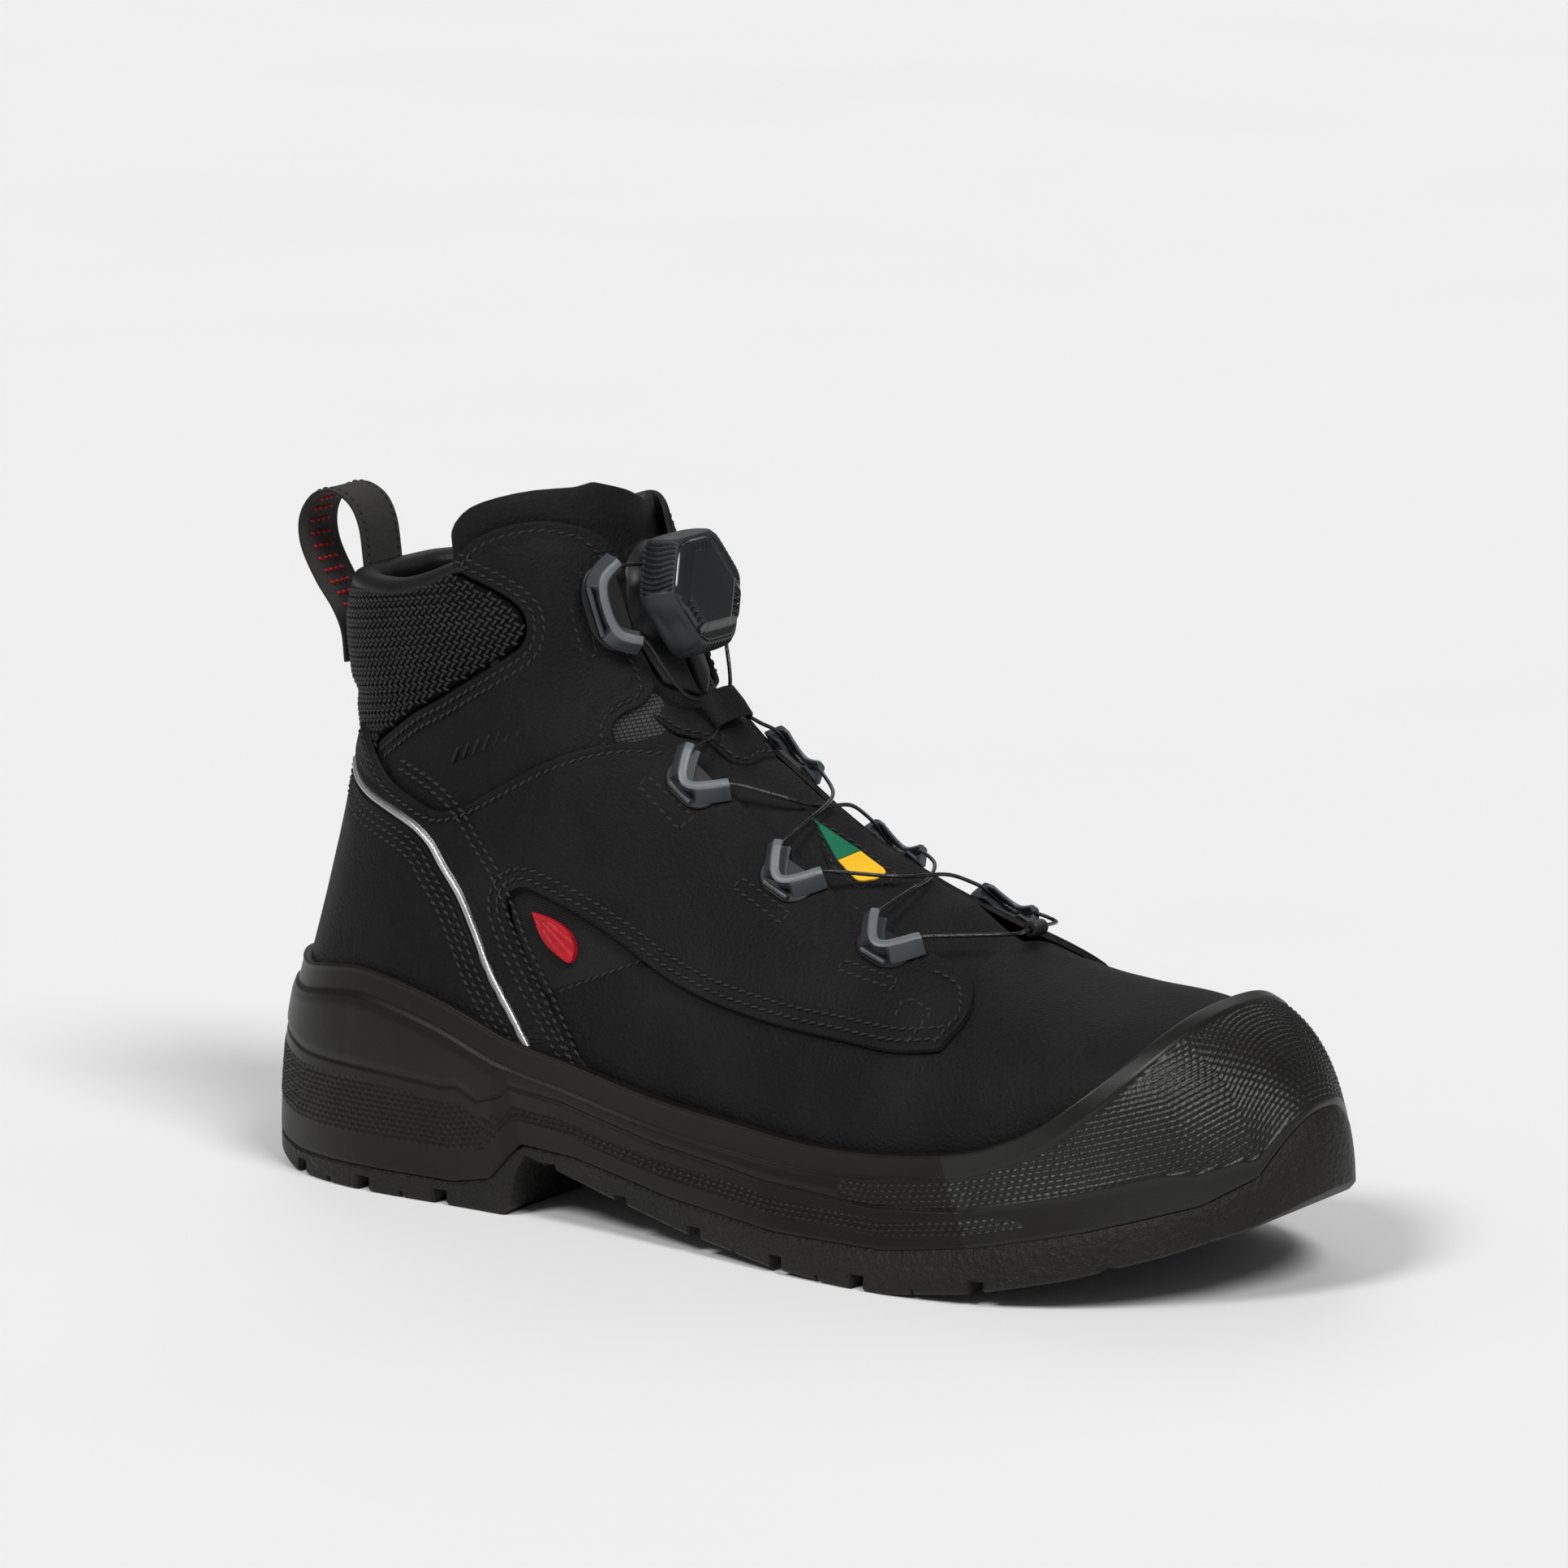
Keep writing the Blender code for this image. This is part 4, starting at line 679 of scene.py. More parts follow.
# ---------------------------------------------------------------- stitches
def capsules(centre, ahead, up, long, thick, around=7):
    """Small rounded bars, one per centre, lying along ahead with up as their top."""
    # Each ring: place along the bar, width, and height of its centre, the ends dipping.
    rings = np.array(((-1.0, .25, -.55), (-.8, .75, -.1), (-.35, 1.0, .25), (.35, 1.0, .25),
                      (.8, .75, -.1), (1.0, .25, -.55)))
    angles = full_turn(around)
    side = np.cross(up, ahead)
    lengthwise = rings[:, None, 0] * long / 2 + 0 * angles
    crosswise = rings[:, None, 1] * thick * np.cos(angles)
    height = rings[:, None, 1] * thick * np.sin(angles) * .9 + rings[:, None, 2] * thick
    bodies = (centre[:, None, None] + ahead[:, None, None] * lengthwise[..., None]
              + side[:, None, None] * crosswise[..., None] + up[:, None, None] * height[..., None])
    n, m = len(rings), around
    sides = grid_faces(n, m, True)
    fans = [np.array([[r * m, r * m + j + 1, r * m + j + 2] for j in range(m - 2)]) for r in (0, n - 1)]
    shift = np.arange(len(centre))[:, None, None] * n * m
    faces = []
    for part in (sides, fans[0][:, ::-1], fans[1]):
        faces += (part[None] + shift).reshape(-1, part.shape[1]).tolist()
    return bodies.reshape(-1, 3), faces


def stitch_marks(lines, pitch=2.5, long=2.1, thick=.36, slant=.30):
    """Rows of stitches as one part; each line is (points, outward directions)."""
    found = []
    for points, ups in lines:
        points, ups = np.asarray(points, float), unit(ups)
        run = run_of(points)
        count = max(1, int(run[-1] / pitch))
        at = (np.arange(count) + .5) * run[-1] / count
        centre, up = sample(points, run, at), unit(sample(ups, run, at))
        ahead = sample(points, run, at + .4) - sample(points, run, at - .4)
        ahead = unit(ahead - up * (ahead * up).sum(1)[:, None])
        side = np.cross(up, ahead)
        found.append((centre, ahead * math.cos(slant) + side * math.sin(slant), up))
    centre, ahead, up = (np.concatenate(rows) for rows in zip(*found))
    return capsules(centre, ahead, up, long, thick)


def located(points, side):
    """Side-view points to (t, q), on the lateral side for side -1 and the medial for 1."""
    return np.array([locate(x, z) for x, z in points]) * (1, side)


def both_sides(lines, depth=0.0, per=6):
    """Side-view lines on the lateral and the medial side, as stitch_marks takes them."""
    return [skin_line(located(smooth(line, per) if per else line, side), depth)
            for line in lines for side in (-1, 1)]


# ---------------------------------------------------------------- sole
SOLE_COLUMNS, SOLE_ROWS = 540, 108
# Relief of the wall along X: the ledge below the lip, the groove and the knurled band above the
# parting line, and the lower edge of the knurled field at the toe.
LEDGE_DOWN = [(-156, 6.4), (-60, 7.0), (15, 7.0), (60, 5.4), (80, 5.0), (122, 4.6), (135, 4.0)]
GROOVE_UP = [(-156, 29), (-100, 27), (-76, 25.5), (-62, 16), (-30, 14.5), (15, 13.6), (69, 10.8),
             (82, 10)]
BAND_LOW = [(-156, 9.8), (-76, 9.0), (-62, 7.4), (-30, 5.6), (15, 5.2), (69, 3.6), (96, 3.6)]
BAND_HIGH = [(-156, 25.3), (-100, 23.4), (-76, 21.4), (-62, 11), (-30, 9.6), (15, 10.2), (69, 7.4),
             (90, 6.8), (97, 4.2)]
FIELD_LOW = [(44, 12.2), (80, 10.3), (128, 10.5), (140, 6.5), (147, .8), (156, .6)]
FIELD_START, FIELD_FULL = 46, 84  # X where that field starts, and where it covers the whole wall


def side_wall(plan, sign):
    """Fine sole wall of one side as points [height row, column], from the ground to the lip."""
    f = np.linspace(0, 1, SOLE_COLUMNS + 1)
    foot = at_fraction(smooth(plan, 12), f)
    bottom = np.column_stack([foot, table(foot[:, 0], UNDERSIDE)])
    tq = located(smooth(SOLE_TOP, 6), sign)
    tq[0, 1], tq[-1, 1] = 0, sign
    run = run_of(on_skin(tq))
    tq = sample(tq, run, f * run[-1])
    top = on_skin(tq, WALL_LIP)
    k = np.arange(len(f))
    ahead = top[np.minimum(k + 6, SOLE_COLUMNS)] - top[np.maximum(k - 6, 0)]
    down = unit(np.cross(outward(*tq.T), ahead) * sign)
    reach = np.linalg.norm(top - bottom, axis=1)[:, None]
    lift = np.array((0, 0, 1.0)) * reach * 0.38
    v = np.linspace(0, 1, 81)[:, None, None]
    rows = ((1 - v)**3 * bottom + 3 * (1 - v)**2 * v * (bottom + lift)
            + 3 * (1 - v) * v**2 * (top + down * reach * 0.38) + v**3 * top)
    return rows, tq, down


def split_height(rows):
    """Row number, with a fraction, where each column crosses the parting line."""
    above = rows[..., 2] - table(rows[..., 0], PARTING)
    first = np.clip(np.argmax(above > 0, axis=0), 1, len(rows) - 1)
    k = np.arange(rows.shape[1])
    a, b = above[first - 1, k], above[first, k]
    return first - 1 + np.clip(-a / (b - a + 1e-9), 0, 1)


def at_rows(rows, places):
    """Points at fractional row numbers places[row, column]."""
    i = np.clip(places.astype(int), 0, len(rows) - 2)
    k = np.arange(rows.shape[1])
    f = (places - i)[..., None]
    return rows[i, k] * (1 - f) + rows[i + 1, k] * f


SCALE_PITCH, SCALE_ROW = 2.15, 1.45


def knurl(along, up):
    """Height 0..1 of rows of small scales, every other row shifted."""
    n = np.floor(up / SCALE_ROW)
    x = np.mod(along / SCALE_PITCH + .5 * np.mod(n, 2) + .12 * (up / SCALE_ROW - n), 1) - .5
    y = up / SCALE_ROW - n - .5
    return np.clip(1.15 - (np.abs(x) / .40)**2.4 - (np.abs(y) / .40)**2.4, 0, 1)


def step_at(x, edge, width):
    """Smooth step from 0 to 1 over the width, centred on the edge."""
    s = np.clip((x - edge) / width + .5, 0, 1)
    return s * s * (3 - 2 * s)


def between(x, low, high, width):
    """1 between low and high, with smooth steps of this width to 0 outside."""
    return step_at(x, low, width) * (1 - step_at(x, high, width))


def ridge_at(x, middle, width):
    """A bell of height 1 round the middle."""
    return np.exp(-((x - middle) / width)**2)


def table(x, line):
    """Height of a side-view line at x."""
    return np.interp(x, *np.array(line, float).T)


def ring_of(lateral_side, medial_side):
    """Columns of both sides as one ring: heel, lateral side, toe, medial side."""
    return np.concatenate([lateral_side, medial_side[..., ::-1, :][..., 1:-1, :]], axis=-2)


def upper_wall():
    """Moulded wall from the parting line to the lip: ring of points, and X of each column.

    up and below are the distances along the wall from the parting line and from the lip, and
    along is the distance round the boot. proud is how far the relief stands out.
    """
    walls = [side_wall(PLAN_LATERAL, -1), side_wall(PLAN_MEDIAL, 1)]
    rows, tq, down = (ring_of(walls[0][k], walls[1][k]) for k in range(3))
    start = split_height(rows)
    w = np.linspace(0, 1, SOLE_ROWS)[:, None]
    points = at_rows(rows, start[None] + (len(rows) - 1 - start[None]) * w)
    rise = np.linalg.norm(np.diff(points, axis=0), axis=2)
    up = np.concatenate([np.zeros((1, rise.shape[1])), np.cumsum(rise, axis=0)])
    full = up[-1][None]
    below = full - up
    pace = np.linalg.norm(np.roll(points[SOLE_ROWS // 2], -1, 0) - points[SOLE_ROWS // 2], axis=1)
    half = np.cumsum(pace) - pace
    along = np.minimum(half, half[-1] + pace[-1] - half)[None]
    x = points[SOLE_ROWS // 3, :, 0][None] + 0 * up
    across = np.roll(points, -1, 1) - np.roll(points, 1, 1)
    out = unit(np.cross(across, np.gradient(points, axis=0)))

    # Ledge under the lip: the wall below it stands out at the rear and steps back at the toe.
    ledge = table(x, LEDGE_DOWN)
    rear = 1 - step_at(x, 72, 40)
    proud = .9 * rear * step_at(below, ledge, 1.4) - .6 * rear * step_at(below, 0, 2.0)
    proud += .45 * (1 - rear) * (1 - step_at(below, ledge, 1.2))
    # Groove along the side, with a soft swelling over it.
    groove = table(x, GROOVE_UP)
    ends = 1 - step_at(x, 82, 10)
    proud -= .55 * ends * ridge_at(up, groove, .45)
    proud += .35 * ends * step_at(up, groove + 1.6, 2.4) * (1 - step_at(up, full - ledge - 2, 3))
    # Sunk band of scales along the side.
    band = between(up, table(x, BAND_LOW), table(x, BAND_HIGH), .9) * (1 - step_at(x, 96, 4))
    scales = knurl(along + 0 * up, up)
    proud -= .35 * band
    proud += .62 * band * scales
    # Field of scales over the toe, with a swelling along its lower edge.
    field_low = table(x, FIELD_LOW)
    opened = np.clip((x - FIELD_START) / (FIELD_FULL - FIELD_START), 0, 1)
    field_top = np.minimum(full - ledge - .6, field_low + 60 * opened)
    field = between(up, field_low, field_top, 1.0) * step_at(x, FIELD_START, 3)
    proud += field * (-.25 + .5 * scales)
    proud += .3 * (1 - field) * step_at(x, 84, 12) * ridge_at(up, field_low, 1.3)
    # Mould line where the bumper starts, the seam to the outsole, and slow unevenness.
    proud += .12 * ridge_at(x, BUMPER_X, .35) - .5 * ridge_at(up, 0, .55)
    proud += .05 * waves(points, 26, 4)
    points = points + out * proud[..., None]

    # Rows that tuck the wall in under the outsole, and over the lip against the leather.
    under = points[0] - out[0] * 5.0
    lip = [on_skin(tq, depth) - down * drop for depth, drop in ((1.5, .55), (.9, .75), (-1.4, .6))]
    return np.concatenate([under[None], points, lip]), x[0]


def build_midsole():
    """The moulded wall: the foam midsole, and the toe bumper in front of it."""
    points, x = upper_wall()
    columns = points.shape[1]
    for name, look, slot, ahead in (("midsole", "foam", "foam", False),
                                    ("toe_bumper", "bumper", "rubber", True)):
        order = np.arange(columns) if ahead else np.roll(np.arange(columns), columns // 2)
        chosen = [k for k in order if (x[k] > BUMPER_X) == ahead]
        chosen = chosen if ahead else [(chosen[0] - 1) % columns] + chosen + [(chosen[-1] + 1) % columns]
        shown = points[:, chosen]
        piece(name, shown.reshape(-1, 3), grid_faces(*shown.shape[:2]), look, slot,
              stands_for=(name,), sharp=0)


def build_outsole():
    """The tread: its edge below the parting line, a closed underside, and the slots cut in it."""
    n, rows_up = 150, 9
    pick = np.linspace(0, SOLE_COLUMNS, n + 1).round().astype(int)
    rings = []
    for plan, sign in ((PLAN_LATERAL, -1), (PLAN_MEDIAL, 1)):
        rows, _, _ = side_wall(plan, sign)
        rows = rows[:, pick]
        start = split_height(rows)
        w = np.linspace(0, 1, rows_up)[:, None]
        wall = at_rows(rows, start[None] * w)
        out = unit(np.cross(np.gradient(wall, axis=1), np.gradient(wall, axis=0))) * -sign
        wall = wall + out * np.where(w[..., None] > .95, -.4, .25)
        wall = np.concatenate([wall[:1] - out[:1] * .9, wall[:1] + (0, 0, .9), wall[1:]])
        rings.append(wall)
    height = len(rings[0])
    ring = [(0, i) for i in range(n + 1)] + [(1, i) for i in range(n - 1, 0, -1)]
    size = len(ring)
    points = np.array([rings[s][v, i] for v in range(height) for s, i in ring])
    faces = [tuple(f) for f in grid_faces(height, size, True)]
    for v in (0, height - 1):
        for i in range(n):
            a, b = v * size + i, v * size + i + 1
            c, d = v * size + (size - i - 1) % size, v * size + (size - i) % size
            corners = tuple(dict.fromkeys([a, b, c, d]))
            faces.append(corners if v else corners[::-1])
    sole = piece("outsole", points, faces, "rubber", "rubber", stands_for=("outsole",), sharp=35)
    sole.data.flip_normals()
    slots = piece("tread_slots", *tread_slots(), "rubber", None)
    cut = sole.modifiers.new("slots", "BOOLEAN")
    cut.operation, cut.object, cut.solver = "DIFFERENCE", slots, "EXACT"
    bpy.context.view_layer.update()
    done = bpy.data.meshes.new_from_object(sole.evaluated_get(bpy.context.evaluated_depsgraph_get()))
    sole.modifiers.clear()
    sole.data = done
    bpy.data.objects.remove(slots, do_unlink=True)


def tread_slots():
    """Slanted slots from the centre rib out past each edge, and thin sipes in the lugs between."""
    places = [(x, slant, GROOVE_W / 2, GROOVE_DEEP, RIB_Y) for x, slant in FORE_GROOVES + HEEL_GROOVES]
    places += [(x, slant, SIPE_W / 2, SIPE_DEEP, SIPE_Y) for x, slant in SIPES]
    box = [(0, 1, 3, 2), (4, 6, 7, 5), (0, 4, 5, 1), (2, 3, 7, 6), (0, 2, 6, 4), (1, 5, 7, 3)]
    parts = []
    for x, slant, wide, deep, inner in places:
        base = table(x, UNDERSIDE)
        for side in (-1, 1):
            corners = [(x + end * wide - slant * y / 50, side * y, base + z) for z in (-12, deep)
                       for y in (inner, 70) for end in (-1, 1)]
            order = box if side < 0 else [f[::-1] for f in box]
            parts.append((corners, order))
    return join(parts)


# ---------------------------------------------------------------- leather upper
def groove_rows(*rows, deep=.42, wide=.85):
    """Height of a panel that dips where stitch rows pull it down, rows being distances from its edge."""
    def height(d, p, tq):
        dip = sum(ridge_at(d, r, wide) for r in rows)
        return -deep * dip + .2 * waves(p, 34, 3) + .09 * waves(p, 12, 5)
    return height


def build_quarters():
    """Quarters with their eyestay and leg, and the heel panel, all cut back beside the piping."""
    quarter_side = lateral(beside(PIPING_LINE, SEAM), 1)[::-1]
    quarter = (lateral(QUARTER_TOP, 3) + lateral(EYESTAY, 3)[1:] + lateral(QUARTER_FRONT, 3)[1:]
               + lateral(QUARTER_LOW, 3)[1:] + quarter_side)
    heel_side = lateral(beside(PIPING_LINE, -SEAM), 1)
    heel_low = lateral([(-50, 39), (-80, 45), (-110, 49), (-138, 48)], 2)[1:]
    heel = heel_side[:-1] + heel_low + mirrored(heel_low) + mirrored(heel_side[:-1])
    on_both_sides(leather, "quarter", quarter, OVERLAY, groove_rows(2.3, 4.8))
    leather("heel_panel", heel, OVERLAY, groove_rows(2.2, 4.4, 6.6))


def lasting_line():
    """Where the leather ends below the sole's lip."""
    return lateral([(x, z + 1.5) for x, z in LASTING], 2)


def build_vamp():
    """The forefoot leather, with faint flex lines behind the toe."""
    vamp = lateral([(-38, 35), (-45, 44), (-52, 60)], 2) + lateral([(-50, 61.5), (-33, 68.5)], 2)
    vamp += lateral([(-30, 70), (-5, 72.5), (20, 71.5), (45, 68), (60, 71.5), (64, 76.5)], 2)
    vamp.append((12.35, -.93))
    front = [p for p in lasting_line() if p[0] > 11.6]
    vamp = (vamp + [(12.3, -1.0)] + over_crown(vamp) + [(t, -2 - q) for t, q in front]
            + [(18.7, -1.6), (18.7, -1.0), (18.7, -.4)] + front[::-1])

    def face(d, p, tq):
        flex = ridge_at(p[:, 0], 62, 16) * np.clip((p[:, 2] - 45) / 25, 0, 1)
        lines = np.sin((p[:, 0] - .35 * np.abs(p[:, 1])) / 2.6 + 1.5 * waves(p, 30, 8))
        return .16 * flex * lines + .22 * waves(p, 38, 6) + .05 * waves(p, 12, 7)

    leather("vamp", vamp, BASE, face)


def build_badge():
    """Cloth patches behind the quarters, and the red badge on the lateral one."""
    patch = lateral([(-66, 84), (-64, 76), (-57, 63), (-50, 54)], 2)
    patch += lateral([(-46, 57), (-22, 68)], 2) + lateral([(-24, 76), (-45, 86)], 2)
    patch += lateral([(-60, 90), (-67, 88)], 1)
    on_both_sides(slab, "badge_panel", patch, BACKING, "badge_cloth", "mesh",
                  lambda d, p, tq: .5 * (1 - np.exp(-d / 6)))

    def ribs(d, p, tq):
        fan = np.arctan2(p[:, 2] - 82, p[:, 0] + 60)
        return .16 * np.sin(fan * 46) * np.clip(d / .8, 0, 1)

    slab("badge", lateral(BADGE_RED, 3), EMBLEM, "badge_red", "badge_red", ribs,
         rings=(.1, .25, .5, .9, 1.4), step=.5, cell=.55, edge=.4)


def build_ankles():
    """Ankle panels, a little fuller towards the top."""
    ankle = (lateral(ANKLE_TOP, 3) + lateral(ANKLE_FRONT, 3)[1:]
             + lateral([(-53, 112), (-61, 108), (-71, 102), (-80, 97), (-89, 94), (-100, 97),
                        (-109, 102.5), (-115, 110.5)], 2))
    ankle += lateral(beside(MESH_EDGE, -EDGE_GAP), 1)

    def face(d, p, tq):
        rolled = np.clip((p[:, 2] - 150) / 22, 0, 1)
        return (groove_rows(2.2, 4.6)(d, p, tq) + .8 * (1 - np.exp(-(np.maximum(d - 5, 0) / 9)))
                * (.4 + .6 * rolled))

    on_both_sides(leather, "ankle_panel", ankle, BASE, face, cell=1.5)


def build_marks():
    """Short plain slanted bars pressed in a row on the ankle panel: a generic mark."""
    start, span = np.array((-85.0, 117.0)), np.array((28.0, 12.0))
    middles = start + span * np.linspace(.04, .96, 9)[:, None]
    for side, sign in (("lateral", -1), ("medial", 1)):
        here, up = skin_line(located(middles, sign), BASE[0] + .05)
        way = unit(on_skin(located(middles + (.4, 1.0), sign), BASE[0] + .05) - here)
        piece(f"pressed_marks_{side}", *capsules(here, way, up, 5.2, .6, 10), "smooth_leather", "nubuck",
              sharp=0)


def build_collar():
    """Padded collar cloth with its knit, the gussets, and the lining inside the shaft."""
    back = lateral([(-114.6, 117.6), (-117.5, 111.5), (-121, 106.5), (-131, 104.5)], 2)
    edge = lateral(beside(MESH_EDGE, EDGE_GAP), 1)[1:]
    rim = lateral(RIM, 2)
    padded = back[::-1] + edge + rim

    def pad(d, p, tq):
        upper = np.clip((p[:, 2] - 112) / 20, 0, 1)
        fold = ridge_at(p[:, 2], 128 + .12 * (p[:, 0] + 120), 2.6)
        return (3.0 * upper * (1 - np.exp(-(np.maximum(d - .3, 0) / 6)**1.4)) * (1 - .35 * fold)
                + .25 * waves(p, 22, 12) * upper)

    padded += mirrored(padded)
    # The near-black cloth under the knit is painted shade in the gaps between the yarns.
    collar = slab("collar_mesh", padded, PADDING, "mesh", "mesh", pad,
                  rings=(.15, .4, .8, 1.4, 2.2, 3.2, 4.4, 5.8), cell=2.0, edge=COLLAR_EDGE)
    build_knit(padded, pad)

    gusset = lateral([(-46, 135), (-36, 139), (-29, 131), (-27, 120), (-34, 115), (-43, 121)], 2)
    on_both_sides(slab, "gusset", gusset, GUSSET, "gusset", "mesh",
                  lambda d, p, tq: .4 * (1 - np.exp(-d / 4)))

    tongue_edge = lateral(TONGUE_SIDE, 2)
    lining_edge = [(t, q + .03) for t, q in tongue_edge][2:-1]
    low = [p for p in lasting_line()[::-1] if 8.9 < p[0] < 12.6 and surface(*p)[0] < 24]
    shaft = ([(3.05, 0.0)] + lateral(RIM, 2)[::-1][1:-1] + lining_edge
             + lateral([(26, 76), (26, 50), (26, 29)], 1) + low)
    slab("collar_lining", shaft + [(8.4, 0.0)] + mirrored(shaft), LINING, "lining", "lining",
         lambda d, p, tq: .2 * waves(p, 25, 14), cell=3.0)
    build_rim()


COLLAR_EDGE = 1.4
YARN_ROWS, YARN_PITCH, YARN_SLANT = 1.25, 2.2, .62


def build_knit(loop, pad):
    """Raised yarns of the collar cloth, slanted one way and the other in turn."""
    rim = even_loop(loop, 1.0)
    ts = np.linspace(rim[:, 0].min(), rim[:, 0].max(), 600)
    qs = np.linspace(rim[:, 1].min(), rim[:, 1].max(), 400)
    run = run_of(surface(ts, np.full(600, -.3)))
    places, slants = [], []
    for row, t in enumerate(np.interp(np.arange(.6, run[-1], YARN_ROWS), run, ts)):
        way = run_of(surface(np.full(400, t), qs))
        q = np.interp(np.arange(.4 + YARN_PITCH / 2 * (row % 2), way[-1], YARN_PITCH), way, qs)
        places.append(np.column_stack([np.full(len(q), t), q]))
        slants.append(np.full(len(q), YARN_SLANT if row % 2 else -YARN_SLANT))
    tq, slant = np.concatenate(places), np.concatenate(slants)
    where = surface(*tq.T)
    gap = distance(where, surface(*rim.T))
    keep = inside(tq, rim) & (gap > .5)
    tq, slant, gap, where = tq[keep], slant[keep], gap[keep], where[keep]
    drop = rounding(gap, COLLAR_EDGE)
    centre, up = skin_line(tq, PADDING[0] + pad(gap, where, tq) - drop + .05)
    ahead = unit(on_skin(tq + (.02, 0)) - on_skin(tq))
    side = np.cross(up, ahead)
    way = side * np.cos(slant)[:, None] + ahead * np.sin(slant)[:, None]
    knit = piece("collar_knit", *capsules(centre, way, up, YARN_PITCH, .46, 6), "knit", "mesh", sharp=0)


def build_rim():
    """Rolled padded edge of the collar, from ear to ear round the back."""
    side = lateral([(-80, 167)] + RIM, 6)
    count = 181
    path = at_fraction(on_skin(side + [(side[-1][0], 0.0)] + mirrored(side), -5.6),
                       np.linspace(0, 1, count))
    for _ in range(6):
        path[1:-1] = (path[:-2] + 2 * path[1:-1] + path[2:]) / 4
    out = unit(np.column_stack([path[:, 0] + 96, path[:, 1] * 1.6, 0 * path[:, 0]]))
    frames = [(o, np.array((0, 0, 1.0))) for o in out]
    a = full_turn(24)
    ends = np.clip(np.minimum(np.arange(count), np.arange(count)[::-1]) / 22, 0, 1)
    ends = .3 + .7 * ends * (2 - ends)
    rolls = [np.column_stack([np.cos(a) * 4.0, np.sin(a) * 3.3 * e - .7]) for e in ends]
    roll = piece("collar_rim", *sweep(path, rolls, frames), "smooth_leather", "lining", sharp=60)


def tongue_face(t, q):
    """Depth of the tongue's face: deep at the dial, close under the eyestays, thin at the top."""
    lifted = np.clip((t - 4.5) / .9, 0, 1)
    tucked = np.clip((t - 11.3) / .9, 0, 1)
    top = np.clip((2.0 - t) / .8, 0, 1)
    beside_crown = np.clip((np.abs(q + 1) - .05) / .10, 0, 1)
    return -6.0 + 3.7 * lifted**2 * (3 - 2 * lifted) + 3.4 * top - 1.9 * tucked - 1.7 * lifted * beside_crown


# Top of the tongue: its highest point on the crown, and the lower edge of its medial half.
CROWN_TOP = (1.46, -1.0)
MEDIAL_TOP = [(-88, 168), (-84, 171.5), (-78, 174), (-70, 176.5), (-62, 179.5), (-56, 182.5)]


def build_tongue():
    """The padded tongue, the shield under the dial, and the tag patch with its two-tone tag."""
    def back(t, q):
        thin = np.clip((t - 10.5) / 1.5, 0, 1)
        return -11.8 + 5.4 * thin

    tongue_edge = lateral(TONGUE_SIDE[:-1] + [(44, 73), (58, 66)], 2)
    halves = [tongue_edge[1:][::-1] + lateral(top, 2)[1:] + [(t, -.90)]
              for top, t in ((TONGUE_TOP, 1.30), (MEDIAL_TOP, 1.66))]
    front = [(12.3, -.74), (12.9, -.85), (13.0, -1.0)]
    loop = front[::-1] + halves[0] + [CROWN_TOP] + over_crown(halves[1]) + over_crown(front)[:-1]

    def puffed(d, p, tq):
        clear = np.clip((np.abs(tq[:, 0] - 3.4) - 1.5) / .8, 0, 1)
        quilt = np.cos((tq[:, 0] - 5.0) * TURN / 1.55)
        middle = np.clip((tq[:, 0] - 5.2) / .8, 0, 1)
        return clear * (1.0 * (1 - np.exp(-(d / 7)**1.4)) + .35 * middle * quilt) * .8 - .2

    tongue = slab("tongue", loop, (tongue_face, back), "nubuck", "nubuck", puffed,
                  rings=(.3, .8, 1.6, 2.8, 4.4), edge=2.4, side_look="lining")

    def on_tongue(lift, thick):
        return (lambda t, q: tongue_face(t, q) + lift + thick, lambda t, q: tongue_face(t, q) + lift - .4)

    shield = [(2.2, -.93), (3.0, -.885), (4.0, -.845), (4.9, -.835), (5.35, -.86), (5.6, -.905),
              (6.15, -.915), (6.3, -.945)]
    shield = shield + [(6.22, -1.0)] + over_crown(shield) + [(2.1, -1.0)]
    leather("tongue_shield", shield, on_tongue(.5, .9), groove_rows(1.9))
    tag = [(7.45, -.949), (9.15, -.875), (9.95, -.868), (10.2, -.925), (9.98, -.966), (8.7, -.972)]
    leather("tag_patch", tag, on_tongue(-.3, 1.1), groove_rows(1.3), cell=1.5)
    label = [(9.06, -.899), (9.70, -.888), (9.79, -.893), (9.89, -.915), (9.85, -.941), (9.74, -.947),
             (9.06, -.950)]
    slab("safety_tag", label, on_tongue(.9, .35), "tag_yellow", "tag_colour",
         rings=(.1, .3, .6, 1.0), cell=1.0, step=.8, edge=.25)
    corner = [(7.86, -.941), (9.05, -.898), (9.05, -.951)]
    slab("safety_tag_top", corner, on_tongue(.9, .35), "tag_green", "tag_colour", stands_for=(),
         rings=(.1, .3, .6), cell=1.0, step=.8, edge=.25)
    return shield, tag


def ring_in(loop, gap):
    """A closed (t, q) loop moved inwards along the skin by gap."""
    rim, at, inward = rim_of(loop, 1.0)
    moved = rim + to_skin(rim, inward * gap)
    return moved[distance(surface(*moved.T), at) > gap * .93]


def tongue_line(tq, lift):
    """A (t, q) line lying on the face of the tongue."""
    return skin_line(tq, tongue_face(*tq.T) + lift)


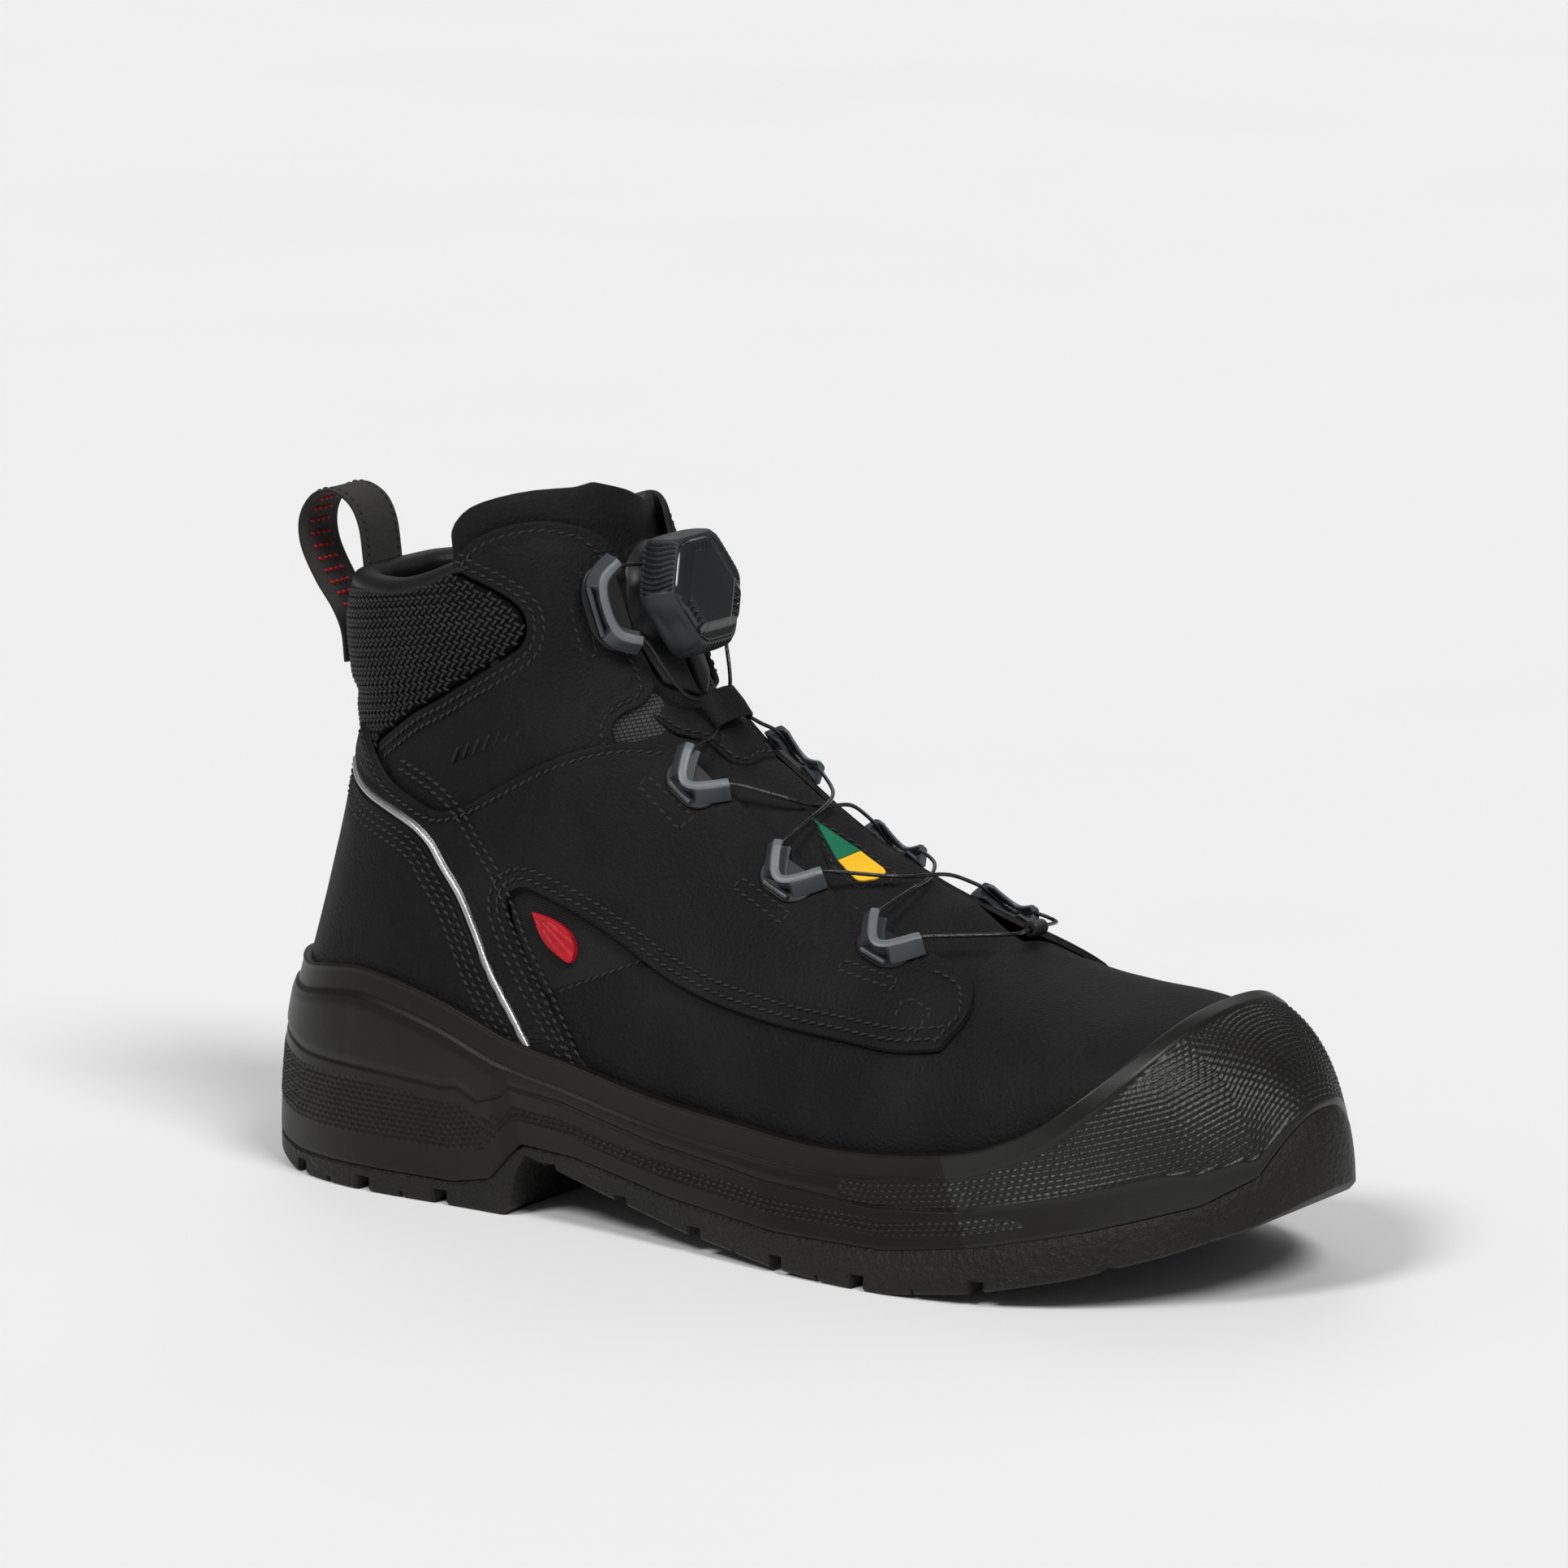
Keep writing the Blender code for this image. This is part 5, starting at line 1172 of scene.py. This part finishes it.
def build_piping():
    """Reflective piping between quarter and heel panel: a round bead on a flat flange."""
    line = np.array(lateral(PIPING_LINE, 3)[1:-2])
    flange = [(-2.0, -.9), (2.0, -.9), (2.0, -.35), (-2.0, -.35)]
    for side, sign in (("lateral", 1), ("medial", -1)):
        route, ups = skin_line(line * (1, sign), -.45)
        path = spread(route, 1.0)
        frames = carried(path, at_fraction(ups, np.linspace(0, 1, len(path))))
        parts = [sweep(path, section, frames) for section in (round_section(.85, 12), flange)]
        name = f"piping_{side}"
        piece(name, *join(parts), "reflective", "reflective", stands_for=(name,))


def spread(points, gap):
    """A smooth line through the points, with points about gap apart."""
    line = smooth(points, 12)
    length = np.linalg.norm(np.diff(line, axis=0), axis=1).sum()
    return at_fraction(line, np.linspace(0, 1, max(2, round(length / gap)) + 1))


# Corners of the stitched boxes that hold the guides' straps, in side view.
STITCH_BOXES = (
    ((-54, 166), (-51, 167), (-46, 146), (-49, 145)), ((-32, 114), (-30, 116), (-17, 107), (-20, 104)),
    ((-3, 91), (-1, 93), (14, 86), (12, 84)), ((32, 75), (33, 77), (48, 74), (48, 72)),
)


def build_seams(shield, tag):
    """Stitch rows of the upper and of the tongue."""
    overlay = [beside(QUARTER_TOP, -2.3), beside(QUARTER_LOW, -2.3), beside(QUARTER_LOW, -4.8),
               beside(QUARTER_FRONT, -2.3), [(52, 66), (53, 70), (61, 68)], [(61, 68), (58, 60.8)]]
    overlay += [beside(PIPING_LINE, -SEAM - gap) for gap in (2.2, 4.4, 6.6)]
    overlay = both_sides(overlay, -.1)
    overlay += both_sides([beside(PIPING_LINE, SEAM + gap)[6:] for gap in (10.2, 12.6)], -.05)
    base = both_sides([beside(MESH_EDGE, -2.6), beside(MESH_EDGE, -4.8),
                       beside(ANKLE_TOP, -2.4), beside(ANKLE_FRONT, -2.4)], BASE[0] - .05)
    base += both_sides([[(-48, 61), (-36, 66.5), (-24, 72)]], BASE[0])
    boxes = []
    for box in STITCH_BOXES:
        loop = list(box) + [box[0]]
        line = np.concatenate([np.linspace(a, b, 6)[:-1] for a, b in zip(loop, loop[1:])] + [[loop[-1]]])
        boxes += both_sides([line], BASE[0] if box[0][1] > 140 else -.05, per=0)
    piece("upper_stitches", *stitch_marks(overlay + base + boxes), "thread", "nubuck", sharp=0)

    lines = [tongue_line(ring_in(shield, 1.9), 1.35), tongue_line(ring_in(tag, 1.3), .75)]
    for sign in (-1, 1):
        line = [(t, -1 - sign * (-1 + q)) for t, q in ((6.5, .862), (7.6, .855), (9.0, .848),
                                                       (10.6, .842), (11.6, .84))]
        lines.append(tongue_line(smooth(line, 8), .1))
    piece("tongue_stitches", *stitch_marks(lines), "thread", "nubuck", sharp=0)


def build_loop():
    """Pull loop: a woven ribbon folded over, stitched inside the collar and down the heel."""
    loop = [(-130.2, 152), (-131.2, 161), (-132.6, 169), (-135.8, 174.5), (-141.5, 177),
            (-147.5, 175), (-151.3, 169), (-151.0, 161.5), (-146.5, 153), (-141, 146), (-138.0, 140),
            (-137.0, 132)]
    flat = smooth(loop, 8)
    turn = unit(np.gradient(flat, axis=0))
    n = len(flat)
    path = np.column_stack([flat[:, 0], .25 * np.sin(np.arange(n) * .13), flat[:, 1]])
    frames = [(np.array((0, 1.0, 0)), np.array((dz, 0, -dx))) for dx, dz in turn]
    across = np.linspace(-8.4, 8.4, 31)
    half = [(y, .55 - .25 * (abs(y) > 7.9)) for y in across]
    section = half + [(y, -thick) for y, thick in half[::-1]]
    uv = np.column_stack([np.repeat(run_of(flat), len(section)), np.tile([s[0] for s in section], n)])
    piece("pull_loop", *sweep(path, section, frames), "webbing", "webbing", "boot", ("pull_loop",), uv, 50)
    ups = np.array([up for _, up in frames])

    def rows(places, keep, face):
        return [(path[keep] + (0, y, 0) + ups[keep] * .58 * face, ups[keep] * face) for y in places]

    edges = stitch_marks(rows((-6.6, 6.6), slice(5, -3), 1), 2.2, 1.6, .3, .3)
    piece("pull_loop_stitches", *edges, "thread", "webbing", sharp=0)
    dashes = stitch_marks(rows(np.linspace(-3.4, 3.4, 4), slice(6, -6), -1), 3.4, 1.5, .5, .9)
    piece("pull_loop_pattern", *dashes, "badge_red", "badge_red", sharp=0)


# ---------------------------------------------------------------- cable guides
# Routes of the ridge, along and inward as parts of the guide's half length and reach: the lower
# guides are V-shaped, the top ones C-shaped.
V_PATH = ((-1.0, .98), (-.76, .36), (-.50, -.20), (-.26, -.62), (0, -.80), (.26, -.62), (.50, -.20),
          (.76, .36), (1.0, .98))
C_PATH = ((-1.0, .80), (-.86, .18), (-.66, -.34), (-.34, -.58), (0, -.62), (.34, -.58), (.66, -.34),
          (.86, .18), (1.0, .80))
PLATE_OUTLINE = ((-1, .40), (-.95, -.5), (-.5, -.95), (0, -1.0), (.5, -.95), (.95, -.5), (1, .40))


def guide_side(number, side):
    """Frame, length and reach of a guide; the lower medial ones sit a little further forward."""
    x, z, length, reach = GUIDES[number - 1]
    if side == "medial" and number > 1:
        x, z = x + 3, z - 2
    return (*guide_frame(x, z, side), length, reach)


def build_guide(number, side):
    """A moulded guide: a ridge, its top faces in paler nylon as a painted highlight, over a sloping skirt, a
    window at its back with a strap bar.
    """
    centre, down, inward, out, length, reach = guide_side(number, side)
    tall = number == 1
    shape = C_PATH if tall else V_PATH
    flat = smooth([(a * length * .49, b * reach * .54) for a, b in shape], 6)
    flat = at_fraction(flat, np.linspace(0, 1, 49))
    run = run_of(flat)
    middle = np.abs(run - run[-1] / 2)
    path = np.array([centre + down * a + inward * b + out * .25 for a, b in flat])
    turn = unit(np.gradient(flat, axis=0))
    frames = [(down * db - inward * da, out) for da, db in turn]
    window = 5.2 if tall else 2.4  # half length of the opening at the guide's back
    sections = []
    for k in range(len(flat)):
        open_here = 1 - step_at(middle[k], window, .9)
        tip = np.clip(min(k, len(flat) - 1 - k) / 4, 0, 1)
        skirt = 3.7 - 2.6 * open_here  # reach of the skirt outwards, less at the window
        top = 4.9 - .5 * (1 - tip)
        sections.append([(-2.4, 0), (skirt - .2, 0), (skirt, .5), (1.9 - .6 * open_here, top - .9),
                         (1.45, top - .25), (1.0, top), (-.3, top), (-.8, top - .25), (-.95, top - .8),
                         (-.7, top - 1.2), (.55, top - 1.5), (.7, 1.2), (.2, .8), (-2.4, .7)])
    name = f"lace_guide_{number}_{side}"
    guide = piece(name, *sweep(path, sections, frames), "nylon", "nylon", "boot", (name,), sharp=32,
                  extra=("nylon_painted_highlight",))
    # The ridge's top faces take the paler nylon, a painted highlight along the guide's top.
    ridge = np.zeros(len(guide.data.polygons), np.int32)
    m = len(sections[0])
    ridge[:(len(flat) - 1) * m] = np.isin(np.arange((len(flat) - 1) * m) % m, (4, 5, 6, 7))
    guide.data.polygons.foreach_set("material_index", ridge)
    soften(guide, .25)

    outline = smooth([(a * length * .53, b * reach * .84) for a, b in PLATE_OUTLINE], 4)
    ring = np.array([centre + down * a + inward * b for a, b in outline])
    points = [centre + (ring - centre) * grow + out * lift
              for lift, grow in ((-.5, 1.0), (.45, 1.0), (.7, .97))]
    n = len(ring)
    faces = [tuple(f) for f in grid_faces(3, n, True)] + [tuple(range(2 * n, 3 * n))]
    plate = piece(f"guide_plate_{number}_{side}", np.concatenate(points), faces, "nylon_dark", "nylon",
                  sharp=30)
    if (np.asarray(plate.data.polygons[-1].normal) @ out) < 0:
        plate.data.flip_normals()

    wide = window + 1.4
    bar = [centre + inward * (-reach * .54 * (.62 if tall else .80) - 2.3) + down * s + out * 1.3
           for s in np.linspace(-wide, wide, 9)]
    piece(f"guide_bar_{number}_{side}", *sweep(bar, round_section(.75, 10), [(inward, out)] * 9),
          "nylon", "nylon")


def soften(obj, width):
    """Rounds the sharp edges by a bevel of this width."""
    bevel = obj.modifiers.new("soft edge", "BEVEL")
    bevel.width = width * MM
    bevel.segments = 2
    bevel.limit_method = "ANGLE"
    bevel.angle_limit = math.radians(32)
    bevel.harden_normals = False


def build_small_parts():
    """The leather loop that keeps the cable under the dial, and the joiner at the throat's end."""
    across = np.radians(np.linspace(-84, 84, 33))
    centre, out = skin(5.15, -1.0), outward(5.15, -1.0)
    down = unit(skin(5.35, -1.0) - skin(4.95, -1.0))
    side = np.array((0, 1.0, 0))
    arch = [centre + side * 6.6 * math.sin(a) + out * (-1.6 + 4.3 * math.cos(a)**.6) for a in across]
    frames = [(down, unit(out * math.cos(a) + side * math.sin(a))) for a in across]
    section = [(-4.6, .1), (-4.2, -.2), (4.2, -.2), (4.6, .1), (4.7, .6), (4.4, 1.1), (0, 1.35), (-4.4, 1.1),
               (-4.7, .6)]
    piece("lace_keeper", *sweep(arch, section, frames), "nubuck", "nubuck", "boot", ("lace_keeper",),
          sharp=50)

    start, end = skin(12.3, -1.13, 1.9), skin(12.35, -1.0, 1.5)
    axis = unit(end - start)
    middle = (start + end) / 2
    out = outward(12.3, -1.06)
    out = unit(out - axis * (out @ axis))
    fore = np.cross(axis, out)
    # Place along the joiner and radius of each ring, with grooves between raised bands.
    rows = [(-4.0, .8), (-3.9, 1.7), (-3.5, 2.1)]
    for k in range(6):
        rows += [(-3.0 + k * 1.05, 2.1), (-2.8 + k * 1.05, 1.75), (-2.45 + k * 1.05, 1.75)]
    rows += [(3.5, 2.1), (3.9, 1.7), (4.0, .8)]
    points = [middle + axis * s + (fore * math.cos(a) + out * math.sin(a)) * r for s, r in rows
              for a in full_turn(24)]
    piece("cable_joiner", points, grid_faces(len(rows), 24, True), "nylon_dark", "nylon", "boot",
          ("cable_joiner",), sharp=35)


# ---------------------------------------------------------------- dial
RIBBED = np.radians((30, 150, 270))
PLAIN = np.radians((90, 210, 330))


def hexagon(angles, ribbed, plain, power=13):
    """Radius of a rounded six-sided outline at the angles, from its two kinds of half width."""
    total = sum(sum((np.maximum(np.cos(angles - c), 0) / half)**power for c in sides)
                for sides, half in ((RIBBED, ribbed), (PLAIN, plain)))
    return total**(-1 / power)


def dial_points(angles, radius, h):
    """Points round the dial's axis, at a radius and a height h over its seat."""
    u, v, h = np.broadcast_arrays(radius * np.cos(angles), radius * np.sin(angles), h)
    return (DIAL_SEAT + u[..., None] * DIAL_SIDE + v[..., None] * DIAL_UP + h[..., None] * DIAL_N)


def nearest_turn(angles, centres):
    """Signed angle to the nearest of the centres."""
    gaps = np.array([(angles - c + math.pi) % TURN - math.pi for c in centres])
    return np.take_along_axis(gaps, np.abs(gaps).argmin(0)[None], 0)[0]


RIB_PITCH = 1.72


def build_grip(a):
    """The knob's grip: six sides, three of them ribbed, and a plain bore round the housing."""
    count = KNOB_COLUMNS
    # Part of the outline's radius, and height.
    profile = smooth([(.90, 2.3), (.975, 2.8), (1.0, 4.2), (.995, 7.0), (.975, 9.0), (.945, 10.6),
                      (.905, 11.7), (.865, 12.25), (.835, 12.3)], 5)
    inner = [(.82, 12.1), (.80, 11.6)]
    rows = np.vstack([profile, inner])
    scale, h = rows[:, :1], rows[:, 1:]
    outline = hexagon(a, HALF_RIBBED, HALF_PLAIN)
    away = nearest_turn(a, RIBBED)
    along = outline * np.tan(np.clip(away, -.6, .6))
    zone = (1 - step_at(np.abs(along), 7.9, .8)) * step_at(h, 3.2, 1.0) * (1 - step_at(h, 11.9, .8))
    bend = 1.1 * np.cos((h - 7.8) / 3.6 * 1.5)
    ribs = np.cos((along + bend) / RIB_PITCH * TURN)
    blocks = .35 * ridge_at(np.abs(along), 8.6, 1.0) * step_at(h, 4.5, 1.5) * (1 - step_at(h, 10.8, 1.5))
    hollow = -.7 * ridge_at(nearest_turn(a, PLAIN), 0, .30) * step_at(h, 5, 2) * (1 - step_at(h, 11, 2))
    radius = outline * scale + zone * (.55 * ribs - .32) + blocks + hollow
    points = dial_points(a, radius, h + 0 * radius).reshape(-1, 3)
    faces = grid_faces(len(rows), count, True)
    bore = [dial_points(a, np.full_like(a, HOUSING_R + .5), z).reshape(-1, 3) for z in (2.3, 10.0)]
    points = np.concatenate([points, *bore])
    n = len(rows) * count
    k = np.arange(count)
    d = (k + 1) % count
    faces = np.vstack([faces, np.stack([k, n + k, n + d, d], -1),
                       np.stack([n + k, n + count + k, n + count + d, n + d], -1)])
    piece("knob_grip", points, faces, "knob", "knob", "dial_knob", ("knob_grip",), sharp=50)


SLOT_PITCH = 1.75


def build_cap(a):
    """The knob's glossy cap: a raised six-sided plateau, and slots towards its three plain sides."""
    rows = np.linspace(0, 1, 70)[:, None]
    rim = hexagon(a, HALF_RIBBED * .835, HALF_PLAIN * .835)
    radius = rim * rows
    plateau = hexagon(a, 8.8, 12.6, 22)
    n = radius / plateau
    height = 12.75 + .95 * (1 - step_at(n, 1.12, .30)) - 1.1 * step_at(rows, .985, .05)
    away = nearest_turn(a, PLAIN)
    along, up = radius * np.sin(away), radius * np.cos(away)
    slot = (np.clip(1.5 - np.abs((along / SLOT_PITCH + .5) % 1 - .5) * 5.2, 0, 1)
            * (1 - step_at(np.abs(along), 4.6, .3)) * (1 - step_at(np.abs(up - 11.0), 1.25, .35)))
    height = height - .6 * slot - .12 * (1 - step_at(np.abs(along), 6.0, .6)) * (
        1 - step_at(np.abs(up - 11.0), 1.9, .5))
    points = dial_points(a, radius, height).reshape(-1, 3)
    points = np.concatenate([points, dial_points(a, rim * .98, np.full_like(rim, 11.7)).reshape(-1, 3)])
    piece("knob_cap", points, grid_faces(71, KNOB_COLUMNS, True)[:, ::-1], "gloss", "gloss", "dial_knob",
          ("knob_cap",), sharp=30)


def build_knob():
    """Grip, cap and the toothed disc under them that turns the spool."""
    a = full_turn(KNOB_COLUMNS)[None]
    build_grip(a)
    build_cap(a)
    disc = [(2.6, 3.95), (DISC_R - .3, 3.95), (DISC_R, 4.2), (DISC_R, 4.8), (DISC_R - .3, 5.05), (2.6, 5.05)]
    turned_piece("drive_teeth", disc, "nylon_dark", "nylon", "dial_knob", ("drive_disc",), teeth=36)


def turned_piece(name, profile, look, slot, body, stands_for, teeth=0):
    """A closed profile (r, h) turned round the dial axis, its widest part toothed if asked."""
    a = full_turn(360 if teeth else 120)
    rings = []
    for r, h in profile:
        ripple = .25 * np.cos(a * teeth) * (r > profile[0][0] + 1) if teeth else 0
        rings.append(dial_points(a, r + ripple + 0 * a, h))
    faces = grid_faces(len(profile) + 1, len(a), True) % (len(profile) * len(a))
    piece(name, np.concatenate(rings), faces, look, slot, body, stands_for, sharp=35)


def build_housing():
    """The dial's base with its cup and flange, and the ears by which it is sewn on."""
    wall = [(HOUSING_R - .3, CUP_TOP - .6), (HOUSING_R - .5, CUP_TOP), (CUP_R + .3, CUP_TOP), (CUP_R, 3.6),
            (CUP_R, CUP_FLOOR), (1.2, CUP_FLOOR), (1.2, -4.0), (HOUSING_R + 1.6, -4.4),
            (HOUSING_R + 1.9, -3.2), (HOUSING_R + .9, -2.2), (HOUSING_R, .2), (HOUSING_R, 2.6)]
    turned_piece("dial_base", wall, "nylon_dark", "nylon", "boot", ("dial_base",))
    for side in (-1, 1):
        ear = [(2.35, -1 + side * .01), (2.5, -1 + side * .09), (3.4, -1 + side * .135),
               (4.4, -1 + side * .10), (4.75, -1 + side * .01)]
        slab(f"dial_flange_{'medial' if side < 0 else 'lateral'}", ear, FLANGE, "nylon_dark", "nylon",
             stands_for=(), rings=(.2, .5, 1.0), cell=2.0, edge=.6)


WELD = .02


def finish_frame_nodes():
    """Looks of the CAD parts that stay: cable, spindle, spool and what is inside the boot."""
    looks = {"lace": "cable", "spool": "nylon", "dial_core": "steel", "steel_toe_cap": "steel",
             "puncture_plate": "steel", "shank": "steel", "insole_board": "board",
             "heel_counter": "board", "footbed": "lining", "vamp_lining": "lining"}
    for name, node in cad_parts.items():
        if node.hide_render:
            continue
        node.data.materials.clear()
        node.data.materials.append(LOOKS[looks.get(name, "nubuck")])
        if name in ("lace", "footbed"):
            weld = node.modifiers.new("weld", "WELD")
            weld.merge_threshold = WELD * MM
            fine = node.modifiers.new("fine", "SUBSURF")
            fine.levels = fine.render_levels = 2
            node.data.shade_smooth()


# ---------------------------------------------------------------- stage
FLOOR_HALF = 60.0
WORLD = .18
CAMERA_AZ, CAMERA_EL = 33.0, 11.6
CAMERA_FAR, CAMERA_LENS = 2.4, 215.5
CAMERA_TARGET = Vector((-.0055, 0, .1126))
# Name, strength, width in degrees, azimuth, elevation.
LIGHTS = (("key", 1.5, 18, -8, 48), ("right", 1.6, 20, 64, 50), ("back", .4, 40, 215, 42))


def add_aimed(name, data, azimuth, elevation, target, far):
    """A lamp or camera in that direction from the target, looking at it."""
    a, e = math.radians(azimuth), math.radians(elevation)
    way = Vector((math.sin(a) * math.cos(e), -math.cos(a) * math.cos(e), math.sin(e)))
    obj = bpy.data.objects.new(name, data)
    obj.location = target + way * far
    obj.rotation_mode = "QUATERNION"
    obj.rotation_quaternion = way.to_track_quat("Z", "Y")
    bpy.context.scene.collection.objects.link(obj)
    return obj


def build_stage():
    """White surroundings, a pale floor and the lamps."""
    world = bpy.data.worlds.new("studio")
    world.use_nodes = True
    sky = world.node_tree.nodes["Background"].inputs
    sky["Color"].default_value = (1, 1, 1, 1)
    sky["Strength"].default_value = WORLD
    bpy.context.scene.world = world

    floor_look = Look("studio_floor")
    at = floor_look.place()
    drift = floor_look.noise(at, 3, 2)
    floor_look.finish(Base_Color=floor_look.ramp(drift, (.3, grey(.86)), (.7, grey(.88))), Roughness=.9,
                      Specular_IOR_Level=.1)
    points = [(x, y, 0) for x in (-FLOOR_HALF, FLOOR_HALF) for y in (-FLOOR_HALF, FLOOR_HALF)]
    data = bpy.data.meshes.new("studio_floor")
    data.from_pydata([tuple(p) for p in points], [], [(0, 2, 3, 1)])
    data.materials.append(floor_look.material)
    floor = bpy.data.objects.new("studio_floor", data)
    bpy.context.scene.collection.objects.link(floor)

    for name, strength, angle, az, el in LIGHTS:
        lamp = bpy.data.lights.new(name, "SUN")
        lamp.energy = strength
        lamp.angle = math.radians(angle)
        add_aimed(name, lamp, az, el, Vector((0, 0, 0)), 1)


def build_camera():
    data = bpy.data.cameras.new("camera")
    data.lens = CAMERA_LENS
    data.sensor_width = 36
    bpy.context.scene.camera = add_aimed("camera", data, CAMERA_AZ, CAMERA_EL, CAMERA_TARGET, CAMERA_FAR)
    bpy.context.scene.view_settings.view_transform = "Standard"


build_midsole()
build_outsole()
build_quarters()
build_vamp()
build_badge()
build_ankles()
build_marks()
build_collar()
shield_edge, tag_edge = build_tongue()
build_piping()
build_seams(shield_edge, tag_edge)
build_loop()
for guide in range(1, 5):
    for flank in ("lateral", "medial"):
        build_guide(guide, flank)
build_small_parts()
build_knob()
build_housing()
finish_frame_nodes()
build_stage()
build_camera()
